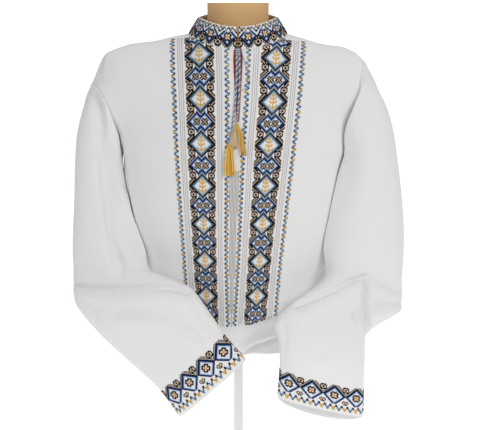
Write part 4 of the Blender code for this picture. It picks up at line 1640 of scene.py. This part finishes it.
def twisted_cord(name, route, node, sizes):
    """Three plies of yarn twisted round the route, with an end that runs on into the tassel's head."""
    fine = []
    heading = (route[-1] - route[-2]).normalized()
    route = route + [route[-1] + heading * CORD_STEP * step for step in (1, 2, 3)]
    steps = (len(route) - 1) * 6
    for step in range(steps + 1):
        fine.append(along(route, step / 6))
    length = sum((high - low).length for low, high in zip(fine, fine[1:]))
    materials = []
    mesh = ([], [], [])
    for ply, colour in enumerate(PLY_COLOURS):
        materials.append(plain_material(f"cord_ply_{ply}", colour, 0.7, 1500.0, 0.3, 0.2))
        line = []
        for number, point in enumerate(fine):
            angle = 2 * math.pi * (ply / 3 - number / steps * length / sizes.cord_lay)
            thick = yarn_radius(number / steps)
            line.append(point + Vector((math.cos(angle), math.sin(angle), 0.0)) * thick * PLY_OUT)
        part = tube(line, lambda share: yarn_radius(share) * PLY_THICK, 8)
        join_tube(mesh, part, [ply] * len(part[1]))
    points, faces, slots = mesh
    piece = mesh_piece(name, points, faces, materials, slots)
    finish_piece(piece, "cord_yarn", node)


def make_loose_thread():
    """The thin loop of thread that hangs out beside the slit."""
    spots = [front_face(point.x, point.z, LOOSE_THREAD_LIFT) for point in LOOSE_THREAD]
    last = LOOSE_THREAD_STEPS
    line = [along(spots, (len(spots) - 1) * step / last) for step in range(last + 1)]
    made, around = tube(line, LOOSE_THREAD_RADIUS, 6)
    grey = plain_material("loose_thread_grey", (0.22, 0.24, 0.30), 0.7, 1500.0, 0.3, 0.2)
    piece = mesh_piece("loose_thread", made, around, [grey])
    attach(piece, "root")


def tassel_point(tassel, across, deep, down):
    """A place in a tassel.

    across runs from -0.5 to 0.5, deep from 0 at the cloth and down from 0 at the top.
    """
    swell = smooth_step(0.0, 0.30, down) * 0.45 + 0.55 * down
    width = blend(tassel.top_width, tassel.foot_width, swell)
    depth = blend(tassel.top_width, tassel.depth, smooth_step(0.0, 0.5, down))
    centre = blend(tassel.top_x, tassel.foot_x, down)
    height = blend(tassel.top_z, tassel.foot_z, down)
    x = centre + across * width
    return front_face(x, height, TASSEL_LIFT + deep * depth)


def make_tassel(name, tassel, node, seed, locks, tips, sizes):
    """Loose strands under a bound head.

    locks are the places where the strands gather, and tips is the share of strands with dark ends.
    """
    rng = random.Random(seed)
    materials = [plain_material(title, colour, 0.55, 1400.0, 0.3, 0.4) for title, colour in TASSEL_COLOURS]
    mesh = ([], [], [])
    for strand in range(sizes.tassel_strands):
        centre, spread, reach = locks[strand % len(locks)]
        across = centre + rng.uniform(-spread, spread)
        deep = 0.12 + 0.76 * rng.random()
        wave = rng.uniform(-0.03, 0.03)
        bottom = reach * (1.0 - 0.05 * rng.random())
        pick = rng.random()
        slot = 2 if pick > 0.90 else 1 if pick > 0.72 else 0
        line = []
        for step in range(9):
            down = bottom * step / 8
            sway = wave * math.sin(step / 8 * math.pi * 2)
            gather = min(down / 0.25, 1.0)
            place = (across + sway) * gather + across * 0.3 * (1 - gather)
            line.append(tassel_point(tassel, place, deep, down))
        part = tube(line, sizes.strand_radius, 5)
        dark_end = rng.random() < tips
        slots = [2 if dark_end and number >= DARK_END_FROM else slot for number in range(len(part[1]))]
        join_tube(mesh, part, slots)
    for wrap in range(4):
        down = 0.10 + wrap * 0.022
        ring = []
        for step in range(17):
            angle = 2 * math.pi * step / 16
            ring.append(tassel_point(tassel, 0.52 * math.cos(angle), 0.5 + 0.55 * math.sin(angle), down))
        part = tube(ring, WRAP_RADIUS, 5)
        join_tube(mesh, part, [0] * len(part[1]))
    points, faces, slots = mesh
    piece = mesh_piece(name, points, faces, materials, slots)
    finish_piece(piece, "tassel_yarn", node)
    return piece


def turned_piece(name, node, bevel, material, slot):
    """A smooth round piece in the place of a round CAD node, bevelled by hand at its rims."""
    low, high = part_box(node)
    radius = (high[0] - low[0]) / 2
    select_nothing()
    bpy.ops.mesh.primitive_cylinder_add(
        vertices=96, radius=radius, depth=high[2] - low[2], location=(0, 0, (low[2] + high[2]) / 2)
    )
    piece = bpy.context.object
    piece.name = name
    piece.data.name = name
    bpy.ops.object.transform_apply(location=True, rotation=False, scale=False)
    if bevel:
        bpy.ops.object.modifier_add(type="BEVEL")
        soft = piece.modifiers[-1]
        soft.width = bevel
        soft.segments = 4
        soft.limit_method = "ANGLE"
        bpy.ops.object.modifier_apply(modifier=soft.name)
    bpy.ops.object.shade_smooth_by_angle(angle=math.radians(35))
    piece.data.materials.clear()
    piece.data.materials.append(material)
    finish_piece(piece, slot, node)


def select_nothing():
    """Clears the selection."""
    bpy.ops.object.select_all(action="DESELECT")


def finish_node(node, material):
    """Gives a kept CAD node its finish."""
    piece = bpy.data.objects[node]
    piece.data.materials.clear()
    piece.data.materials.append(material)


# The photograph's camera: its lens in mm, its place across and in front, and how far it looks down
CAMERA_LENS = 48.75
CAMERA_PLACE = (0.004, -1.385)
CAMERA_TILT = 18.1

# Where the lights stand, their sizes, powers and colours. They all look at the shirt's middle.
Light = namedtuple("Light", "name place size power colour")
LIGHTS = (
    Light("key", (1.5, -1.9, 2.2), 0.9, 21.0, (1.0, 0.960, 0.935)),
    Light("fill", (-1.9, -1.4, 1.7), 1.2, 6.5, (0.94, 0.97, 1.0)),
)
SHIRT_MIDDLE = Vector((0.0, 0.0, 0.75))


def make_camera():
    """The photograph's camera: level with the form's neck and looking down."""
    data = bpy.data.cameras.new("camera")
    data.sensor_width = 36.0
    data.lens = CAMERA_LENS
    camera = bpy.data.objects.new("camera", data)
    camera.location = (*CAMERA_PLACE, NECK_TOP)
    camera.rotation_euler = (math.radians(90.0 - CAMERA_TILT), 0.0, 0.0)
    bpy.context.scene.collection.objects.link(camera)
    bpy.context.scene.camera = camera


# The floor turns from white to grey between these distances from the object, but stays white behind it
FLOOR_NEAR = 1.1
FLOOR_FAR = 1.9
FLOOR_WHITE = (0.93, 0.93, 0.93)
FLOOR_GREY = (0.34, 0.35, 0.36)

# The backdrop is only as large as the photograph's camera sees it, so that it doesn't light the back much
BACKDROP_WIDTH = 16.0
BACKDROP_HEIGHT = 4.0
BACKDROP_BEHIND = 14.0

# The white part behind the object: how fast it widens, and where its edge fades
WEDGE_SLOPE = 0.42
WEDGE_OUTER = -1.2
WEDGE_INNER = -0.9


def add_light(row):
    """One area light of the table, turned to the shirt."""
    data = bpy.data.lights.new(row.name, "AREA")
    data.size = row.size
    data.energy = row.power
    data.color = row.colour
    light = bpy.data.objects.new(row.name, data)
    light.location = row.place
    light.rotation_euler = (SHIRT_MIDDLE - Vector(row.place)).to_track_quat("-Z", "Y").to_euler()
    bpy.context.scene.collection.objects.link(light)


def ramp_node(nodes, links, value, low, high):
    """A value's smooth rise from 0 to 1 between low and high."""
    ramp = nodes.new("ShaderNodeMapRange")
    ramp.interpolation_type = "SMOOTHSTEP"
    ramp.inputs["From Min"].default_value = low
    ramp.inputs["From Max"].default_value = high
    links.new(value, ramp.inputs["Value"])
    return ramp.outputs["Result"]


def shade_floor(nodes, links, shader, glow):
    """White round the object and behind it, and grey farther out on the other sides, so that linen shows."""
    coordinates = nodes.new("ShaderNodeTexCoord")
    split = nodes.new("ShaderNodeSeparateXYZ")
    links.new(coordinates.outputs["Object"], split.inputs["Vector"])
    x, y = split.outputs["X"], split.outputs["Y"]

    def work(operation, *values):
        return math_node(nodes, links, operation, *values)

    radius = work("SQRT", work("ADD", work("MULTIPLY", x, x), work("MULTIPLY", y, y)))
    far = ramp_node(nodes, links, radius, FLOOR_NEAR, FLOOR_FAR)
    wedge = work("SUBTRACT", work("MULTIPLY", y, WEDGE_SLOPE), work("ABSOLUTE", x))
    outside = work("SUBTRACT", 1.0, ramp_node(nodes, links, wedge, WEDGE_OUTER, WEDGE_INNER))
    grey = work("MULTIPLY", far, outside)
    mix = nodes.new("ShaderNodeMix")
    mix.data_type = "RGBA"
    links.new(grey, mix.inputs["Factor"])
    mix.inputs["A"].default_value = (*FLOOR_WHITE, 1.0)
    mix.inputs["B"].default_value = (*FLOOR_GREY, 1.0)
    links.new(mix.outputs["Result"], shader.inputs["Base Color"])
    links.new(work("MULTIPLY", work("SUBTRACT", 1.0, grey), glow), shader.inputs["Emission Strength"])


def make_stage(sizes):
    """The camera, the floor, the backdrop, the sky and the lights."""
    make_camera()
    select_nothing()
    bpy.ops.mesh.primitive_plane_add(size=60.0, location=(0.0, 0.0, -0.0005))
    floor = bpy.context.object
    floor.name = "floor"
    bpy.ops.object.transform_apply(location=True, rotation=False, scale=False)
    bpy.ops.mesh.primitive_plane_add(
        size=BACKDROP_WIDTH, location=(0.0, BACKDROP_BEHIND, 1.0), rotation=(math.pi / 2, 0.0, 0.0)
    )
    backdrop = bpy.context.object
    backdrop.name = "backdrop"
    backdrop.scale.y = BACKDROP_HEIGHT / BACKDROP_WIDTH
    bpy.ops.object.transform_apply(location=True, rotation=True, scale=True)
    made, nodes, links, shader = new_material("floor_white", FLOOR_WHITE, 0.9)
    shader.inputs["Emission Color"].default_value = (1.0, 1.0, 1.0, 1.0)
    shade_floor(nodes, links, shader, sizes.floor_glow)
    floor.data.materials.append(made)
    white, nodes, links, shader = new_material("backdrop_white", (0.9, 0.9, 0.9), 0.9)
    shader.inputs["Emission Color"].default_value = (1.0, 1.0, 1.0, 1.0)
    shader.inputs["Emission Strength"].default_value = 0.9
    backdrop.data.materials.append(white)
    bpy.context.scene.view_settings.view_transform = "Standard"
    world = bpy.data.worlds.new("studio")
    bpy.context.scene.world = world
    world.use_nodes = True
    background = world.node_tree.nodes["Background"]
    background.inputs["Color"].default_value = (1.0, 1.0, 1.0, 1.0)
    background.inputs["Strength"].default_value = sizes.sky_strength
    for row in LIGHTS:
        add_light(row)


def length_property(title, what, size):
    """A length in the sidebar."""
    return bpy.props.FloatProperty(name=title, description=what, default=size, unit="LENGTH", precision=5)


def colour_property(title, what, shade):
    """A colour in the sidebar."""
    return bpy.props.FloatVectorProperty(
        name=title, description=what, default=shade, size=3, subtype="COLOR"
    )


def count_property(title, what, number, least, most):
    """A number of things in the sidebar."""
    return bpy.props.IntProperty(name=title, description=what, default=number, min=least, max=most)


def strength_property(title, what, amount):
    """The strength of a light in the sidebar."""
    return bpy.props.FloatProperty(name=title, description=what, default=amount, min=0.0, max=3.0)


class ShirtSizes(bpy.types.PropertyGroup):
    """Sizes and colours of the shirt that a user would change."""

    stitch_pitch: length_property("Stitch", "Height of one cross-stitch of the cuffs", 0.00199)
    thread_width: length_property("Thread width", "Width of a bar of thread", 0.00125)
    thread_height: length_property("Thread height", "How far a bar stands up", 0.00045)
    cloth_wall: length_property("Cloth", "Thickness of the linen", 0.0014)
    collar_wall: length_property("Collar", "Thickness of the doubled collar", 0.0019)
    weave_pitch: length_property("Weave", "Distance between threads", 0.0009)
    cord_lay: length_property("Cord twist", "Length of one turn of the cord", 0.009)
    strand_radius: length_property("Strand", "Radius of a tassel's strand", 0.00055)
    linen_colour: colour_property("Linen", "Colour of the linen", (0.80, 0.80, 0.81))
    form_colour: colour_property("Form", "Colour of the form's cover", (0.97, 0.45, 0.035))
    tassel_strands: count_property("Strands", "Strands in each tassel", 110, 10, 250)
    panel_columns: count_property("Panel columns", "Columns in half a panel", 72, 14, 120)
    rows_below: count_property("Rows below", "Rows below the armpit", 104, 12, 160)
    rows_above: count_property("Rows above", "Rows above the armpit", 60, 12, 96)
    sleeve_around: count_property("Sleeve points", "Points round a sleeve", 120, 24, 160)
    sleeve_rings: count_property("Sleeve rings", "Rings in each section", 16, 2, 20)
    sky_strength: strength_property("Sky", "Strength of the even studio light", 0.56)
    floor_glow: strength_property("Floor", "How far the floor lights itself", 0.55)


class ShirtOperator:
    """What every step of the shirt shares."""
    bl_options = {"REGISTER", "UNDO"}


class SHIRT_OT_stage(ShirtOperator, bpy.types.Operator):
    """Makes the camera, the floor and the studio light"""

    bl_idname = "shirt.stage"
    bl_label = "Stage"

    def execute(self, context):
        make_stage(context.scene.shirt_sizes)
        return {"FINISHED"}


class SHIRT_OT_panels(ShirtOperator, bpy.types.Operator):
    """Makes the front and back panels of linen"""

    bl_idname = "shirt.panels"
    bl_label = "Panels"

    def execute(self, context):
        for panel in ("front", "back"):
            make_panel(panel, context.scene.shirt_sizes)
        return {"FINISHED"}


class SHIRT_OT_sleeves(ShirtOperator, bpy.types.Operator):
    """Makes both sleeves with their cuffs"""

    bl_idname = "shirt.sleeves"
    bl_label = "Sleeves"

    def execute(self, context):
        make_sleeve("sleeve_right", RIGHT_SLEEVE, context.scene.shirt_sizes)
        make_sleeve("sleeve_left", LEFT_SLEEVE, context.scene.shirt_sizes)
        return {"FINISHED"}


class SHIRT_OT_collar(ShirtOperator, bpy.types.Operator):
    """Makes the stand collar"""

    bl_idname = "shirt.collar"
    bl_label = "Collar"

    def execute(self, context):
        make_collar(context.scene.shirt_sizes)
        return {"FINISHED"}


class SHIRT_OT_embroidery(ShirtOperator, bpy.types.Operator):
    """Lays the cross-stitch on the front, the collar and both cuffs"""

    bl_idname = "shirt.embroidery"
    bl_label = "Embroidery"

    def execute(self, context):
        sizes = context.scene.shirt_sizes
        make_front_embroidery(sizes)
        make_collar_embroidery(sizes)
        make_cuff_embroidery("sleeve_right", 7, CUFF_STITCH, sizes)
        make_cuff_embroidery("sleeve_left", 8, CUFF_STITCH, sizes)
        return {"FINISHED"}


class SHIRT_OT_ties(ShirtOperator, bpy.types.Operator):
    """Makes the two cords with their tassels"""

    bl_idname = "shirt.ties"
    bl_label = "Ties"

    def execute(self, context):
        sizes = context.scene.shirt_sizes
        right = make_tassel("tassel_right_yarn", RIGHT_TASSEL, "tassel_right", 5, FULL_LOCKS, 0.05, sizes)
        left = make_tassel("tassel_left_yarn", LEFT_TASSEL, "tassel_left", 8, SPLIT_LOCKS, 0.45, sizes)
        twisted_cord("cord_right_yarn", cord_route(RIGHT_CORD), "cord_right", sizes)
        twisted_cord("cord_left_yarn", cord_route(LEFT_CORD), "cord_left", sizes)
        make_loose_thread()
        return {"FINISHED"}


class SHIRT_OT_form(ShirtOperator, bpy.types.Operator):
    """Finishes the dress form and its stand"""

    bl_idname = "shirt.form"
    bl_label = "Form"

    def execute(self, context):
        sizes = context.scene.shirt_sizes
        cover = plain_material("form_cover", tuple(sizes.form_colour), 0.62, 500.0, 0.1)
        enamel = plain_material("pale_enamel", (0.88, 0.88, 0.87), 0.35, 90.0, 0.03)
        finish_node("form_torso", cover)
        turned_piece("neck_cover", "form_neck", 0.0015, cover, "form_cover")
        turned_piece("pole_enamel", "stand_pole", 0.0, enamel, "pale_enamel")
        turned_piece("base_enamel", "stand_base", 0.004, enamel, "pale_enamel")
        return {"FINISHED"}


class SHIRT_PT_panel(bpy.types.Panel):
    """Lists the shirt's steps in the sidebar"""

    bl_idname = "SHIRT_PT_panel"
    bl_label = "Embroidered shirt"
    bl_space_type = "VIEW_3D"
    bl_region_type = "UI"
    bl_category = "Shirt"

    def draw(self, context):
        sizes = context.scene.shirt_sizes
        for name in ("stitch_pitch", "cloth_wall", "linen_colour", "form_colour", "tassel_strands"):
            self.layout.prop(sizes, name)
        for operator in OPERATORS:
            self.layout.operator(operator.bl_idname)


OPERATORS = (
    SHIRT_OT_stage,
    SHIRT_OT_ties,
    SHIRT_OT_panels,
    SHIRT_OT_sleeves,
    SHIRT_OT_collar,
    SHIRT_OT_embroidery,
    SHIRT_OT_form,
)
CLASSES = (ShirtSizes, *OPERATORS, SHIRT_PT_panel)


def register():
    """Adds the shirt's classes and its sizes to Blender."""
    for each in CLASSES:
        bpy.utils.register_class(each)
    bpy.types.Scene.shirt_sizes = bpy.props.PointerProperty(type=ShirtSizes)


def unregister():
    """Takes them away again."""
    del bpy.types.Scene.shirt_sizes
    for each in reversed(CLASSES):
        bpy.utils.unregister_class(each)


def main():
    """Makes the whole shirt."""
    register()
    bpy.ops.shirt.stage()
    bpy.ops.shirt.ties()
    bpy.ops.shirt.panels()
    bpy.ops.shirt.sleeves()
    bpy.ops.shirt.collar()
    bpy.ops.shirt.embroidery()
    bpy.ops.shirt.form()


if __name__ == "__main__":
    main()
